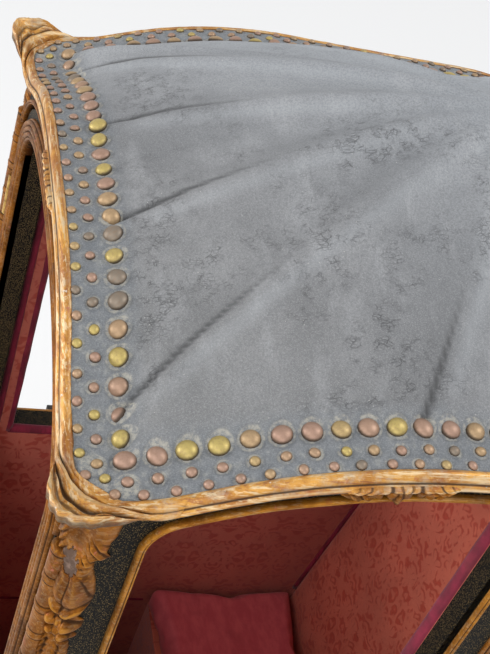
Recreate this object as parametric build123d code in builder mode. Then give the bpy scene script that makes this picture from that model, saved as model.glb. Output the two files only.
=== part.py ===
"""An enclosed sedan chair, carried on two poles, in millimetres.

The origin is on the ground under the middle of the chair, +Z is up, the door faces -Y,
and the side that the photograph shows best is +X.  Left and right are the passenger's,
so the left side is +X.
"""
from build123d import *
from math import sqrt
import os

os.makedirs("parts", exist_ok=True)

# Driving dimensions: the roof is measured by the row of large nails round its eaves
NAIL_PITCH = 27.0
HALF_W = 13 * NAIL_PITCH            # middle of the roof to the side row of nails
HALF_D = 16 * NAIL_PITCH            # middle of the roof to the front row of nails
Z_RIM = 1600.0                      # height of the row of nails at the corners
CROWN = 230.0                       # rise of the roof's middle above the rim

# Walls, measured outward from the row of nails or up from the ground
WALL_X = HALF_W + 38
WALL_Y = HALF_D + 38
WALL_T = 36.0
POST = 44.0
POST_CHAMFER = 24.0
FOOT_H = 35.0
BASE_TOP = 105.0
SILL_Z = 883.0
WAIST_H = 120.0
LINING_T = 14.0
MOULD_PROUD = 9.0                   # how far gilt mouldings stand off the wall
MOULD_W = 13.0

# Roof parts round the eaves
ROOF_UNDER = 18.0                   # underside of the roof below the eaves line
LIFT_GAP = 1.0                      # the roof lid rests this far above the walls
BAND_OUT = 43.0                     # leather band runs this far out from the nails
BAND_FALL = 7.0                     # and has fallen this far there
BAND_LOW = 16.5                     # square to the eaves line, so that it clears the walls where that slopes
RIM_OUT = 55.5                      # gilt cornice runs this far out
RIM_LOW = 24.5
ROOF_WALL = 14.0
# Sections across the eaves: distance out from the nails, height above the eaves line
BAND_SECTION = ((2, -1), (BAND_OUT, -BAND_FALL), (BAND_OUT, -BAND_LOW), (2, -BAND_LOW))
CORNICE_SECTION = ((BAND_OUT, -BAND_FALL), (49, -6), (53.5, -14), (RIM_OUT, -19), (52, -RIM_LOW),
                   (BAND_OUT, -RIM_LOW))

INNER_X = WALL_X - WALL_T
INNER_Y = WALL_Y - WALL_T
POST_X = WALL_X - POST
POST_Y = WALL_Y - POST

# Eaves: each row is distance from the middle, rise above the rim, bend radius
FRONT_EAVE = ((303, 0, 180), (190, 57, 400), (95, 75, 400))
SIDE_EAVE = ((425, 0, 250), (290, 50, 600), (180, 71, 500))

# Twelve ribs carry the leather: four end on the front eaves, four on the back, two a side
INNER_RIB_X = 90.0
OUTER_RIB_X = 297.0
SIDE_RIB_Y = 160.0
RIB_SAG = 7.0                       # leather sags this far between ribs
# Roof sections: height above the rim, then how far out the side ribs, the corners, the
# outer and the inner front ribs stand, as a share of the way to the row of nails
ROOF_SECTIONS = (
    (-18, 1.390, 1.031, 1.035, 1.387),
    (40, 1.136, 0.916, 0.920, 1.146),
    (85, 0.938, 0.777, 0.781, 0.958),
    (125, 0.748, 0.628, 0.631, 0.777),
    (165, 0.533, 0.461, 0.464, 0.569),
    (200, 0.304, 0.281, 0.282, 0.339),
    (CROWN, 0.030, 0.028, 0.029, 0.031),
)

# Side window and the stiles round it
JAMB_FRONT = -400.0
JAMB_REAR = -10.0
STILE = 44.0
# Head of the side window: each row is place along the side, rise above the rim, bend radius
WINDOW_HEAD = ((JAMB_FRONT, -37, 42), (-290, 0, 500), (-180, 21, 500), (JAMB_REAR, 21, 45))

# Door and the two arches over it
DOOR_GAP = 7.0
DOOR_HALF = POST_X - DOOR_GAP
DOOR_T = 34.0
DOOR_LOW = BASE_TOP + DOOR_GAP
HEADER_SPRING = Z_RIM - 100
HEADER_RISE = 118.0
DOOR_WINDOW_HALF = 297.0
DOOR_WINDOW_SPRING = Z_RIM - 120
DOOR_WINDOW_RISE = 101.0
DOOR_MOULD_W = 35.0                 # the door's stepped moulding covers its stiles
DOOR_MOULD_TOP = 28.0
HINGE_X = -(POST_X - DOOR_GAP / 2)
HINGE_Y = -(WALL_Y + 5)

# Poles and the staples that hold them
POLE_Z = 812.0
POLE_LENGTH = 2900.0
POLE_W = 34.0
POLE_H = 46.0
POLE_X = WALL_X + 8 + POLE_W / 2
STAPLE_Y = 300.0

# The roof lid's hinge, behind and below every part of the lid's rear edge
ROOF_HINGE_Y = HALF_D + RIM_OUT + 8
ROOF_HINGE_Z = Z_RIM - ROOF_UNDER - 7


def export(part, name):
    """Name one finished piece and write it."""
    part.label = name
    export_step(part, "parts/" + name + ".step")
    return part


EAVE_REACH = HALF_D + 120          # eaves lines are drawn this far, then cut to width


def eave_line(table, drop):
    """One arched eaves line, in a sketch whose second axis is height."""
    left = [(-EAVE_REACH, Z_RIM - drop)] + [(-d, Z_RIM + rise - drop) for d, rise, bend in table]
    right = [(-x, z) for x, z in reversed(left)]
    bends = [bend for d, rise, bend in table]
    return FilletPolyline(*left, *right, radius=bends + bends[::-1])


def under_eave(table, half, drop, floor_z):
    """Everything from floor_z up to an eaves line."""
    with BuildSketch() as area:
        with BuildLine():
            upper = eave_line(table, drop)
            Polyline(upper @ 0, (-EAVE_REACH, floor_z), (EAVE_REACH, floor_z), upper @ 1)
        make_face()
        with Locations((0, Z_RIM)):
            Rectangle(2 * half, 4 * Z_RIM, mode=Mode.INTERSECT)
    return area.sketch


def arch_area(half, spring, rise, floor_z):
    """A door or window outline with a flat oval head."""
    with BuildSketch() as area:
        with BuildLine():
            Polyline((-half, spring), (-half, floor_z), (half, floor_z), (half, spring))
            EllipticalCenterArc((0, spring), half, rise, start_angle=0, arc_size=180)
        make_face()
    return area.sketch


def rectangle_area(low, high):
    """A plain panel outline between two opposite corners."""
    with BuildSketch() as area:
        with Locations(((low[0] + high[0]) / 2, (low[1] + high[1]) / 2)):
            Rectangle(high[0] - low[0], high[1] - low[1])
    return area.sketch


def side_window(by=0.0):
    """The side window's outline, its head following the eaves, with every edge moved out."""
    corners = [(y, Z_RIM + z) for y, z, bend in WINDOW_HEAD]
    bends = [bend for y, z, bend in WINDOW_HEAD]
    with BuildSketch() as area:
        with BuildLine():
            head = FilletPolyline((JAMB_FRONT, SILL_Z), *corners, (JAMB_REAR, SILL_Z), radius=bends)
            Line(head @ 1, head @ 0)
        make_face()
        if by:
            offset(amount=by, kind=Kind.INTERSECTION)
    return area.sketch


def grown(area, by):
    """The same outline with every edge moved out."""
    with BuildSketch() as wider:
        add(area)
        offset(amount=by, kind=Kind.INTERSECTION)
    return wider.sketch


# Base frame with two bearers, its feet and the floor
PLINTH = 6.0
with BuildPart() as base_frame:
    with BuildSketch(Plane.XY.offset(FOOT_H)):
        Rectangle(2 * (WALL_X + PLINTH), 2 * (WALL_Y + PLINTH))
        Rectangle(2 * INNER_X, 2 * INNER_Y, mode=Mode.SUBTRACT)
    extrude(amount=BASE_TOP - FOOT_H)
    outer_top = base_frame.edges().group_by(Axis.Z)[-1].filter_by(lambda e: e.length > 2 * INNER_X + 60)
    chamfer(outer_top, PLINTH - 1)
    with Locations((0, -220, FOOT_H + 17), (0, 220, FOOT_H + 17)):
        Box(2 * INNER_X, 60, 34)
export(base_frame.part, "base_frame")

with BuildPart() as foot:
    with BuildSketch(Plane.XZ):
        with BuildLine():
            Polyline((0, 0), (20, 0), (30, 13), (21, 27), (27, FOOT_H), (0, FOOT_H), (0, 0))
        make_face()
    revolve(axis=Axis.Z)
with BuildPart() as feet:
    with GridLocations(2 * POST_X + POST, 2 * POST_Y + POST, 2, 2):
        add(foot.part)
export(feet.part, "feet")

FLOOR_Z = FOOT_H + 34
with BuildPart() as floor_board:
    with Locations((0, 0, FLOOR_Z + 7)):
        Box(2 * INNER_X, 2 * INNER_Y, 14)
export(floor_board.part, "floor_board")

# Corner posts, cut off diagonally on the outside
POST_TOP = Z_RIM - ROOF_UNDER - LIFT_GAP
BEAD_X = 368.0                      # a round bead stands on each front post beside the door
BEAD_Y = WALL_Y - 1
BEAD_R = 11.0
BEAD_TOP = Z_RIM - 95
CORNERS = (("front_left_post", 1, -1), ("front_right_post", -1, -1),
           ("rear_left_post", 1, 1), ("rear_right_post", -1, 1))
for post_name, sx, sy in CORNERS:
    with BuildPart() as post:
        with BuildSketch(Plane.XY.offset(BASE_TOP)):
            with BuildLine():
                Polyline(
                    (sx * POST_X, sy * POST_Y),
                    (sx * WALL_X, sy * POST_Y),
                    (sx * WALL_X, sy * (WALL_Y - POST_CHAMFER)),
                    (sx * (WALL_X - POST_CHAMFER), sy * WALL_Y),
                    (sx * POST_X, sy * WALL_Y),
                    close=True,
                )
            make_face()
        extrude(amount=POST_TOP - BASE_TOP)
        if sy < 0:
            with BuildSketch(Plane.XY.offset(BASE_TOP + 20)):
                with Locations((sx * BEAD_X, -BEAD_Y)):
                    Circle(BEAD_R)
            extrude(amount=BEAD_TOP - BASE_TOP - 20)
    export(post.part, post_name)

# Side walls: a frame with a window in front and panels behind and below
PANEL_T = 14.0
PANEL_SET = 9.0                     # panels stand this far back from the frame's face
STILE_REAR = POST_Y - 26
LOWER_PANEL_TOP = SILL_Z - WAIST_H
LOWER_PANEL_LOW = BASE_TOP + 40
REAR_STILE = JAMB_REAR + STILE
SIDE_PANELS = (
    rectangle_area((JAMB_FRONT, LOWER_PANEL_LOW), (JAMB_REAR, LOWER_PANEL_TOP)),
    rectangle_area((REAR_STILE, LOWER_PANEL_LOW), (STILE_REAR, LOWER_PANEL_TOP)),
    rectangle_area((REAR_STILE, SILL_Z), (STILE_REAR, Z_RIM - 20)),
)
SIDES = (("left", 1), ("right", -1))

for side, sx in SIDES:
    outer = Plane.YZ.offset(sx * WALL_X)
    with BuildPart() as side_frame:
        with BuildSketch(outer):
            add(under_eave(SIDE_EAVE, POST_Y, ROOF_UNDER + LIFT_GAP, BASE_TOP))
            add(side_window(), mode=Mode.SUBTRACT)
            for area in SIDE_PANELS:
                add(area, mode=Mode.SUBTRACT)
        extrude(amount=-sx * WALL_T)
    export(side_frame.part, "side_frame_" + side)

    with BuildPart() as side_panels:
        with BuildSketch(Plane.YZ.offset(sx * (WALL_X - PANEL_SET))):
            for area in SIDE_PANELS:
                add(area)
        extrude(amount=-sx * PANEL_T)
        with BuildSketch(Plane.YZ.offset(sx * (WALL_X - PANEL_SET))):
            for area in SIDE_PANELS:
                add(grown(area, -34))
        extrude(amount=sx * 6, taper=35)
    export(side_panels.part, "side_panels_" + side)

    with BuildPart() as window_moulding:
        with BuildSketch(outer):
            add(side_window(MOULD_W))
            add(side_window(), mode=Mode.SUBTRACT)
        extrude(amount=sx * MOULD_PROUD)
    export(window_moulding.part, "window_moulding_" + side)

    with BuildPart() as panel_mouldings:
        with BuildSketch(Plane.YZ.offset(sx * (WALL_X - PANEL_SET))):
            for area in SIDE_PANELS:
                add(area)
                add(grown(area, -12), mode=Mode.SUBTRACT)
        extrude(amount=sx * (PANEL_SET + 5))
    export(panel_mouldings.part, "panel_mouldings_" + side)

    with BuildPart() as side_lining:
        with BuildSketch(Plane.YZ.offset(sx * INNER_X)):
            add(under_eave(SIDE_EAVE, POST_Y, ROOF_UNDER + 32, FLOOR_Z + 14))
            add(side_window(), mode=Mode.SUBTRACT)
        extrude(amount=-sx * LINING_T)
    export(side_lining.part, "side_lining_" + side)

# Back wall: one frame with an upper and a lower panel
BACK_STILE = POST_X - 44
BACK_PANELS = (
    rectangle_area((-BACK_STILE, LOWER_PANEL_LOW), (BACK_STILE, LOWER_PANEL_TOP)),
    arch_area(BACK_STILE, Z_RIM - 130, 90, SILL_Z),
)
with BuildPart() as back_frame:
    with BuildSketch(Plane.XZ.offset(-WALL_Y)):
        add(under_eave(FRONT_EAVE, POST_X, ROOF_UNDER + LIFT_GAP, BASE_TOP))
        for area in BACK_PANELS:
            add(area, mode=Mode.SUBTRACT)
    extrude(amount=WALL_T)
export(back_frame.part, "back_frame")

with BuildPart() as back_panels:
    with BuildSketch(Plane.XZ.offset(-(WALL_Y - PANEL_SET))):
        for area in BACK_PANELS:
            add(area)
    extrude(amount=PANEL_T)
    with BuildSketch(Plane.XZ.offset(-(WALL_Y - PANEL_SET))):
        for area in BACK_PANELS:
            add(grown(area, -34))
    extrude(amount=-6, taper=35)
export(back_panels.part, "back_panels")

BACK_FIELDS = (
    grown(BACK_PANELS[0], -12),
    arch_area(BACK_STILE - 12, Z_RIM - 130, 90 - 12, SILL_Z + 12),
)
with BuildPart() as back_mouldings:
    with BuildSketch(Plane.XZ.offset(-(WALL_Y - PANEL_SET))):
        for area, field in zip(BACK_PANELS, BACK_FIELDS):
            add(area)
            add(field, mode=Mode.SUBTRACT)
    extrude(amount=-(PANEL_SET + 5))
export(back_mouldings.part, "back_mouldings")

# Front header, with the gilt arch that runs round the doorway
with BuildPart() as front_header:
    with BuildSketch(Plane.XZ.offset(WALL_Y)):
        add(under_eave(FRONT_EAVE, POST_X, ROOF_UNDER + LIFT_GAP, HEADER_SPRING))
        add(arch_area(POST_X, HEADER_SPRING, HEADER_RISE, 0), mode=Mode.SUBTRACT)
    extrude(amount=-WALL_T)
export(front_header.part, "front_header")

ARCH_W = 12.0
with BuildPart() as header_arch:
    with BuildSketch(Plane.XZ.offset(WALL_Y)):
        add(arch_area(POST_X + ARCH_W, HEADER_SPRING, HEADER_RISE + ARCH_W, HEADER_SPRING - 1))
        add(arch_area(POST_X, HEADER_SPRING, HEADER_RISE, 0), mode=Mode.SUBTRACT)
    extrude(amount=MOULD_PROUD)
export(header_arch.part, "header_arch")

# Door: frame, lower panel, window moulding, lining, knob and three hinges
DOOR_FACE = Plane.XZ.offset(WALL_Y)
DOOR_PANEL = rectangle_area((-DOOR_WINDOW_HALF, DOOR_LOW + 50), (DOOR_WINDOW_HALF, LOWER_PANEL_TOP))
door_window = arch_area(DOOR_WINDOW_HALF, DOOR_WINDOW_SPRING, DOOR_WINDOW_RISE, SILL_Z)
door_outline = arch_area(DOOR_HALF, HEADER_SPRING, HEADER_RISE - DOOR_GAP, DOOR_LOW)

with BuildPart() as door_frame:
    with BuildSketch(DOOR_FACE):
        add(door_outline)
        add(door_window, mode=Mode.SUBTRACT)
        add(DOOR_PANEL, mode=Mode.SUBTRACT)
    extrude(amount=-DOOR_T)
export(door_frame.part, "door_frame")

with BuildPart() as door_panel:
    with BuildSketch(Plane.XZ.offset(WALL_Y - PANEL_SET)):
        add(DOOR_PANEL)
    extrude(amount=-PANEL_T)
    with BuildSketch(Plane.XZ.offset(WALL_Y - PANEL_SET)):
        add(grown(DOOR_PANEL, -34))
    extrude(amount=6, taper=35)
export(door_panel.part, "door_panel")

with BuildPart() as door_mouldings:
    for out, proud in ((DOOR_MOULD_W, 5.0), (DOOR_MOULD_W - 12, 7.0), (MOULD_W - 1, MOULD_PROUD)):
        with BuildSketch(DOOR_FACE):
            add(arch_area(DOOR_WINDOW_HALF + out, DOOR_WINDOW_SPRING,
                          DOOR_WINDOW_RISE + out * DOOR_MOULD_TOP / DOOR_MOULD_W, SILL_Z - out))
            add(door_window, mode=Mode.SUBTRACT)
        extrude(amount=proud)
    with BuildSketch(Plane.XZ.offset(WALL_Y - PANEL_SET)):
        add(DOOR_PANEL)
        add(grown(DOOR_PANEL, -12), mode=Mode.SUBTRACT)
    extrude(amount=PANEL_SET + 5)
export(door_mouldings.part, "door_mouldings")

with BuildPart() as door_lining:
    with BuildSketch(Plane.XZ.offset(WALL_Y - DOOR_T)):
        add(rectangle_area((-DOOR_HALF + 14, FLOOR_Z + 50), (DOOR_HALF - 14, SILL_Z)))
    extrude(amount=-8)
export(door_lining.part, "door_lining")

KNOB_X = DOOR_HALF - 22
KNOB_Z = POLE_Z
with BuildPart() as door_knob:
    with BuildSketch(Plane.XY):
        with BuildLine():
            Polyline((0, 0), (15, 0), (6, 6), (6, 17), (14, 25), (7, 34), (0, 34), close=True)
        make_face()
    revolve(axis=Axis.Y)
knob = door_knob.part.rotate(Axis.Z, 180).translate((KNOB_X, -WALL_Y, KNOB_Z))
export(knob, "door_knob")

HINGE_ZS = (230.0, 830.0, 1380.0)
HINGE_R = 5.0
KNUCKLE = 22.0
LEAF = 9.0                          # let in beside the door's moulding
with BuildPart() as door_hinge_leaves:
    for z in HINGE_ZS:
        with Locations((HINGE_X, HINGE_Y, z)):
            Cylinder(HINGE_R, KNUCKLE)
        with Locations((HINGE_X + LEAF / 2, -WALL_Y - 1.25, z)):
            Box(LEAF, 2.5, KNUCKLE)
export(door_hinge_leaves.part, "door_hinge_leaves")

with BuildPart() as post_hinge_leaves:
    for z in HINGE_ZS:
        for up in (-1, 1):
            with Locations((HINGE_X, HINGE_Y, z + up * (KNUCKLE + 0.6))):
                Cylinder(HINGE_R, KNUCKLE)
            with Locations((HINGE_X - 6.5, -WALL_Y - 1.25, z + up * (KNUCKLE + 0.6))):
                Box(13, 2.5, KNUCKLE)
export(post_hinge_leaves.part, "post_hinge_leaves")

# Seat, its cushion and the sloping upholstered back
SEAT_FRONT = -30.0
SEAT_TOP = 438.0
CUSHION_T = 62.0
BACK_AT_SEAT = 284.0
BACK_LEAN = 0.135
CABIN_X = INNER_X - LINING_T
FLOOR_TOP = FLOOR_Z + 14
BACK_TOP = Z_RIM - 60
with BuildPart() as seat_box:
    with BuildSketch(Plane.YZ.offset(-CABIN_X)):
        add(rectangle_area((SEAT_FRONT, FLOOR_TOP), (INNER_Y, SEAT_TOP - CUSHION_T)))
        add(rectangle_area((SEAT_FRONT + 18, FLOOR_TOP), (INNER_Y, SEAT_TOP - CUSHION_T - 18)),
            mode=Mode.SUBTRACT)
    extrude(amount=2 * CABIN_X)
export(seat_box.part, "seat_box")

with BuildPart() as seat_cushion:
    with BuildSketch(Plane.YZ.offset(-(CABIN_X - 1))):
        add(rectangle_area((SEAT_FRONT - 6, SEAT_TOP - CUSHION_T), (BACK_AT_SEAT - 12, SEAT_TOP)))
    extrude(amount=2 * (CABIN_X - 1))
    fillet(seat_cushion.edges().group_by(Axis.Z)[-1], 12)
export(seat_cushion.part, "seat_cushion")

with BuildPart() as back_rest:
    with BuildSketch(Plane.YZ.offset(-CABIN_X)):
        with BuildLine():
            Polyline(
                (BACK_AT_SEAT - BACK_LEAN * CUSHION_T, SEAT_TOP - CUSHION_T),
                (INNER_Y, SEAT_TOP - CUSHION_T),
                (INNER_Y, BACK_TOP),
                (INNER_Y - 8, BACK_TOP),
                (BACK_AT_SEAT + BACK_LEAN * (BACK_TOP - SEAT_TOP) - 14, BACK_TOP),
                close=True,
            )
        make_face()
    extrude(amount=2 * CABIN_X)
export(back_rest.part, "back_rest")

# Poles, their staples
GRIP_R = 16.0
for side, sx in SIDES:
    with BuildPart() as pole:
        with Locations((sx * POLE_X, 0, POLE_Z)):
            Box(POLE_W, 1200, POLE_H)
        for sy in (-1, 1):
            with BuildSketch(Plane(origin=(sx * POLE_X, sy * 600, POLE_Z), x_dir=(1, 0, 0), z_dir=(0, sy, 0))):
                Rectangle(POLE_W, POLE_H)
            with BuildSketch(Plane(origin=(sx * POLE_X, sy * 1050, POLE_Z), x_dir=(1, 0, 0), z_dir=(0, sy, 0))):
                Rectangle(30, 34)
            loft(ruled=True)
            with BuildSketch(Plane(origin=(sx * POLE_X, sy * 1050, POLE_Z), x_dir=(1, 0, 0), z_dir=(0, sy, 0))):
                Circle(GRIP_R)
            extrude(amount=POLE_LENGTH / 2 - 1050)
    export(pole.part, "pole_" + side)

    with BuildPart() as staples:
        for sy in (-1, 1):
            with BuildSketch(Plane.XZ.offset(-(sy * STAPLE_Y) - 20)):
                low = POLE_Z - POLE_H / 2
                high = POLE_Z + POLE_H / 2 + 3
                far = POLE_X + POLE_W / 2 + 2
                with Locations((sx * (WALL_X + far + 8) / 2, (low + high) / 2)):
                    Rectangle(far + 8 - WALL_X, high - low + 16)
                with Locations((sx * (WALL_X + 4 + far) / 2, (low + high) / 2)):
                    Rectangle(far - WALL_X - 4, high - low, mode=Mode.SUBTRACT)
                with Locations((sx * (WALL_X + 2), (low + high) / 2)):
                    Rectangle(4, high - low + 50)
            extrude(amount=40)
    export(staples.part, "pole_staples_" + side)

# Roof lid: leather-covered dome on twelve ribs, open below


def roof_section(side, corner, outer, inner, inset, sag):
    """One level outline: twelve ribs with the leather sagging between them."""
    quarter = [
        (side * HALF_W - inset, side * SIDE_RIB_Y),
        (corner * HALF_W - inset, corner * HALF_D - inset),
        (outer * OUTER_RIB_X - inset / 2, outer * HALF_D - inset),
        (inner * INNER_RIB_X, inner * HALF_D - inset),
    ]
    ring = quarter + [(-x, y) for x, y in reversed(quarter)]
    ring += [(-x, -y) for x, y in ring]
    with BuildSketch() as area:
        with BuildLine():
            for start, end in zip(ring, ring[1:] + ring[:1]):
                middle = Vector((start[0] + end[0]) / 2, (start[1] + end[1]) / 2)
                slack = min(sag, 0.03 * middle.length)
                if slack and (Vector(*start) - Vector(*end)).length > 0.2 * middle.length:
                    ThreePointArc(start, tuple(middle * (1 - slack / middle.length))[:2], end)
                else:
                    Line(start, end)
        make_face()
    return area.sketch


def dome(inset, sink, sag):
    """The dome as a solid, made smaller by inset and lowered by sink."""
    with BuildPart() as solid:
        for z, side, corner, outer, inner in ROOF_SECTIONS:
            with BuildSketch(Plane.XY.offset(Z_RIM + z - sink)):
                add(roof_section(side, corner, outer, inner, inset if z < CROWN else 0, sag))
        loft(ruled=True)
    return solid.part


DOME_X = HALF_W + 2
DOME_Y = HALF_D + 2
EDGE_TRIM = 40.0                    # the dome's underside is cut level with the band this far in
outer_dome = dome(0, 0, RIB_SAG)
inner_dome = dome(ROOF_WALL + RIB_SAG, 8, 0)
with BuildPart() as roof_shell:
    add(outer_dome)
    add(inner_dome, mode=Mode.SUBTRACT)
    with Locations((0, 0, Z_RIM - ROOF_UNDER + 200)):
        Box(2 * DOME_X, 2 * DOME_Y, 400, mode=Mode.INTERSECT)
    for sy in (-1, 1):
        with BuildSketch(Plane.XZ.offset(-sy * DOME_Y)):
            add(under_eave(FRONT_EAVE, DOME_X, ROOF_UNDER, Z_RIM - 100))
        extrude(amount=sy * EDGE_TRIM, mode=Mode.SUBTRACT)
    for sx in (-1, 1):
        with BuildSketch(Plane.YZ.offset(sx * DOME_X)):
            add(under_eave(SIDE_EAVE, DOME_Y, ROOF_UNDER, Z_RIM - 100))
        extrude(amount=-sx * EDGE_TRIM, mode=Mode.SUBTRACT)
export(roof_shell.part, "roof_shell")

# Leather-covered band and gilt cornice round the eaves, cut back at the corners
CORNER_CUT = 35.0                   # the corner pieces start this far out on the diagonal


def corner_cutter(start):
    """Four blocks outside a diagonal line at each corner of the roof."""
    with BuildPart() as blocks:
        for sx in (-1, 1):
            for sy in (-1, 1):
                out = start + 100
                with Locations(Location((sx * (HALF_W + out / sqrt(2)), sy * (HALF_D + out / sqrt(2)), Z_RIM),
                                        (0, 0, 45 * sx * sy))):
                    Box(200, 400, 300)
    return blocks.part


def eave_run(table, section, half, outward):
    """One section carried along an arched eaves line, on the side that faces outward."""
    up = Vector(0, 0, 1)
    sideways = outward.cross(up)
    start = sideways * -EAVE_REACH + up * Z_RIM
    with BuildPart() as run:
        with BuildLine(Plane(origin=(0, 0, 0), x_dir=sideways, z_dir=sideways.cross(up))):
            eave_line(table, 0)
        with BuildSketch(Plane(origin=start, x_dir=outward, z_dir=sideways)):
            with BuildLine():
                Polyline(*[(half + out, z) for out, z in section], close=True)
            make_face()
        sweep()
    return run.part


def eave_ring(section):
    """A ring of four arched runs with one section, cut off diagonally at the corners."""
    reach = max(out for out, z in section)
    with BuildPart() as ring:
        for sign in (-1, 1):
            add(eave_run(FRONT_EAVE, section, HALF_D, Vector(0, sign, 0)))
            add(eave_run(SIDE_EAVE, section, HALF_W, Vector(sign, 0, 0)))
        with Locations((0, 0, Z_RIM)):
            Box(2 * (HALF_W + reach), 2 * (HALF_D + reach), 400, mode=Mode.INTERSECT)
        add(corner_cutter(CORNER_CUT), mode=Mode.SUBTRACT)
    return ring.part


with BuildPart() as roof_band:
    add(eave_ring(BAND_SECTION))
export(roof_band.part, "roof_band")

with BuildPart() as roof_cornice:
    add(eave_ring(CORNICE_SECTION))
export(roof_cornice.part, "roof_cornice")

# Flared corner pieces: a fillet, a roll, a hollow and a lip, drawn in the diagonal plane
SHELL_TOP = -5.0
with BuildPart() as corner_piece:
    with BuildSketch(Plane.XZ):
        with BuildLine():
            Line((CORNER_CUT, SHELL_TOP), (48, SHELL_TOP))
            ThreePointArc((48, SHELL_TOP), (57, 1), (66, -5))
            Polyline((66, -5), (75, -7), (84, 3), (91, 6), (92, 0), (82, -14), (62, -RIM_LOW),
                     (46, -RIM_LOW), (40, -ROOF_UNDER), (CORNER_CUT, -ROOF_UNDER), (CORNER_CUT, SHELL_TOP))
        make_face()
    extrude(amount=60, both=True)
    with BuildSketch(Plane.XY.offset(-100)):
        with BuildLine():
            right = Polyline((CORNER_CUT, -44), (60, -36), (80, -24))
            tip = ThreePointArc((80, -24), (92, 0), (80, 24))
            left = Polyline((80, 24), (60, 36), (CORNER_CUT, 44), (CORNER_CUT, -44))
        make_face()
    extrude(amount=300, mode=Mode.INTERSECT)
with BuildPart() as roof_corners:
    for sx in (-1, 1):
        for sy in (-1, 1):
            turn = Vector(sx, sy, 0).get_signed_angle(Vector(1, 0, 0), Vector(0, 0, -1))
            with Locations(Location((sx * HALF_W, sy * HALF_D, Z_RIM), (0, 0, turn))):
                add(corner_piece.part)
export(roof_corners.part, "roof_corners")

# Roof hinges at the rear: a leaf on the cornice and a bracket on the back wall
ROOF_HINGE_X = 312.0
ROOF_KNUCKLE = 14.0
ROOF_HINGE_R = 6.0
with BuildPart() as roof_hinge_leaves:
    for sx in (-1, 1):
        with Locations(Location((sx * ROOF_HINGE_X, ROOF_HINGE_Y, ROOF_HINGE_Z), (0, 90, 0))):
            Cylinder(ROOF_HINGE_R, ROOF_KNUCKLE)
        with Locations((sx * ROOF_HINGE_X, HALF_D + RIM_OUT + 2, Z_RIM - RIM_LOW + 5)):
            Box(ROOF_KNUCKLE, 4, 18)
export(roof_hinge_leaves.part, "roof_hinge_leaves")

with BuildPart() as wall_hinge_leaves:
    for sx in (-1, 1):
        for step in (-1, 1):
            x = sx * ROOF_HINGE_X + step * (ROOF_KNUCKLE + 0.6)
            with Locations(Location((x, ROOF_HINGE_Y, ROOF_HINGE_Z), (0, 90, 0))):
                Cylinder(ROOF_HINGE_R, ROOF_KNUCKLE)
            with Locations((x, (WALL_Y + ROOF_HINGE_Y) / 2, ROOF_HINGE_Z - 3)):
                Box(ROOF_KNUCKLE, ROOF_HINGE_Y - WALL_Y, 6)
        with Locations((sx * (ROOF_HINGE_X + 8), WALL_Y + 2, ROOF_HINGE_Z - 48)):
            Box(2 * ROOF_KNUCKLE, 4, 96)
export(wall_hinge_leaves.part, "wall_hinge_leaves")

# Carved cartouches under the eaves, over the side windows and over the door
with BuildPart() as cartouche:
    with BuildSketch(Plane.XY):
        with BuildLine():
            Line((-60, -2), (-44, 4))
            ThreePointArc((-44, 4), (0, 8), (44, 4))
            Line((44, 4), (60, -2))
            ThreePointArc((60, -2), (46, -9), (26, -6))
            ThreePointArc((26, -6), (12, -10), (0, -17))
            ThreePointArc((0, -17), (-12, -10), (-26, -6))
            ThreePointArc((-26, -6), (-46, -9), (-60, -2))
        make_face()
    extrude(amount=7)
CARTOUCHE_Y = -187.0
CARTOUCHE_SLOPE = 0.117             # it leans with the eaves
with BuildPart() as side_cartouches:
    for side, sx in SIDES:
        face = Plane(origin=(sx * (WALL_X + MOULD_PROUD), CARTOUCHE_Y, Z_RIM + 33),
                     x_dir=(0, sx, sx * CARTOUCHE_SLOPE), z_dir=(sx, 0, 0))
        with Locations(face.location):
            add(cartouche.part)
export(side_cartouches.part, "side_cartouches")

with BuildPart() as front_cartouche:
    face = Plane(origin=(0, -(WALL_Y + MOULD_PROUD), Z_RIM + 36), x_dir=(1, 0, 0), z_dir=(0, -1, 0))
    with Locations(face.location):
        add(cartouche.part)
export(front_cartouche.part, "front_cartouche")
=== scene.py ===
# %% [markdown]
# An enclosed sedan chair, seen from above its near front corner. The solids come from
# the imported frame; this script gives every surface its finish and adds what a solid
# model leaves out: the stretched leather and its nails, the carving, the silk and velvet.

# %% Load the frame
import math
import random

import bmesh
import bpy
from mathutils import Matrix, Vector, noise


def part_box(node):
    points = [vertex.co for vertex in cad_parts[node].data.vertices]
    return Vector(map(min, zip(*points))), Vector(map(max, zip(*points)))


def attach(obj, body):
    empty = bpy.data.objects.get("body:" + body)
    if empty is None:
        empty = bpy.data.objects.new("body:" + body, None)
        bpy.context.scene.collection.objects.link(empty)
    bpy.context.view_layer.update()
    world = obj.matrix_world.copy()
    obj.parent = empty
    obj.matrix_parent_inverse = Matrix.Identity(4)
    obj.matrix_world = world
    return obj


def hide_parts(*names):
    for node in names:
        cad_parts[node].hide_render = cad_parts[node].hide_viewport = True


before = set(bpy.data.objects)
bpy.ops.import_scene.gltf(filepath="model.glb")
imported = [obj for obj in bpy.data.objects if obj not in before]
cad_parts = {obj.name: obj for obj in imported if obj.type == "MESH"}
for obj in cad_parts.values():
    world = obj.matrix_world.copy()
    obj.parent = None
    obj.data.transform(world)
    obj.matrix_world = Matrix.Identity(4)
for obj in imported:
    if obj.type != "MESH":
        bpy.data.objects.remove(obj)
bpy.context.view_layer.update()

# %% [markdown]
# The chair is measured from one row of large brass nails that runs round the eaves. The
# nails are evenly spaced, so one pitch gives the width and the depth of the roof, and the
# walls are read from the frame.

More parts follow.
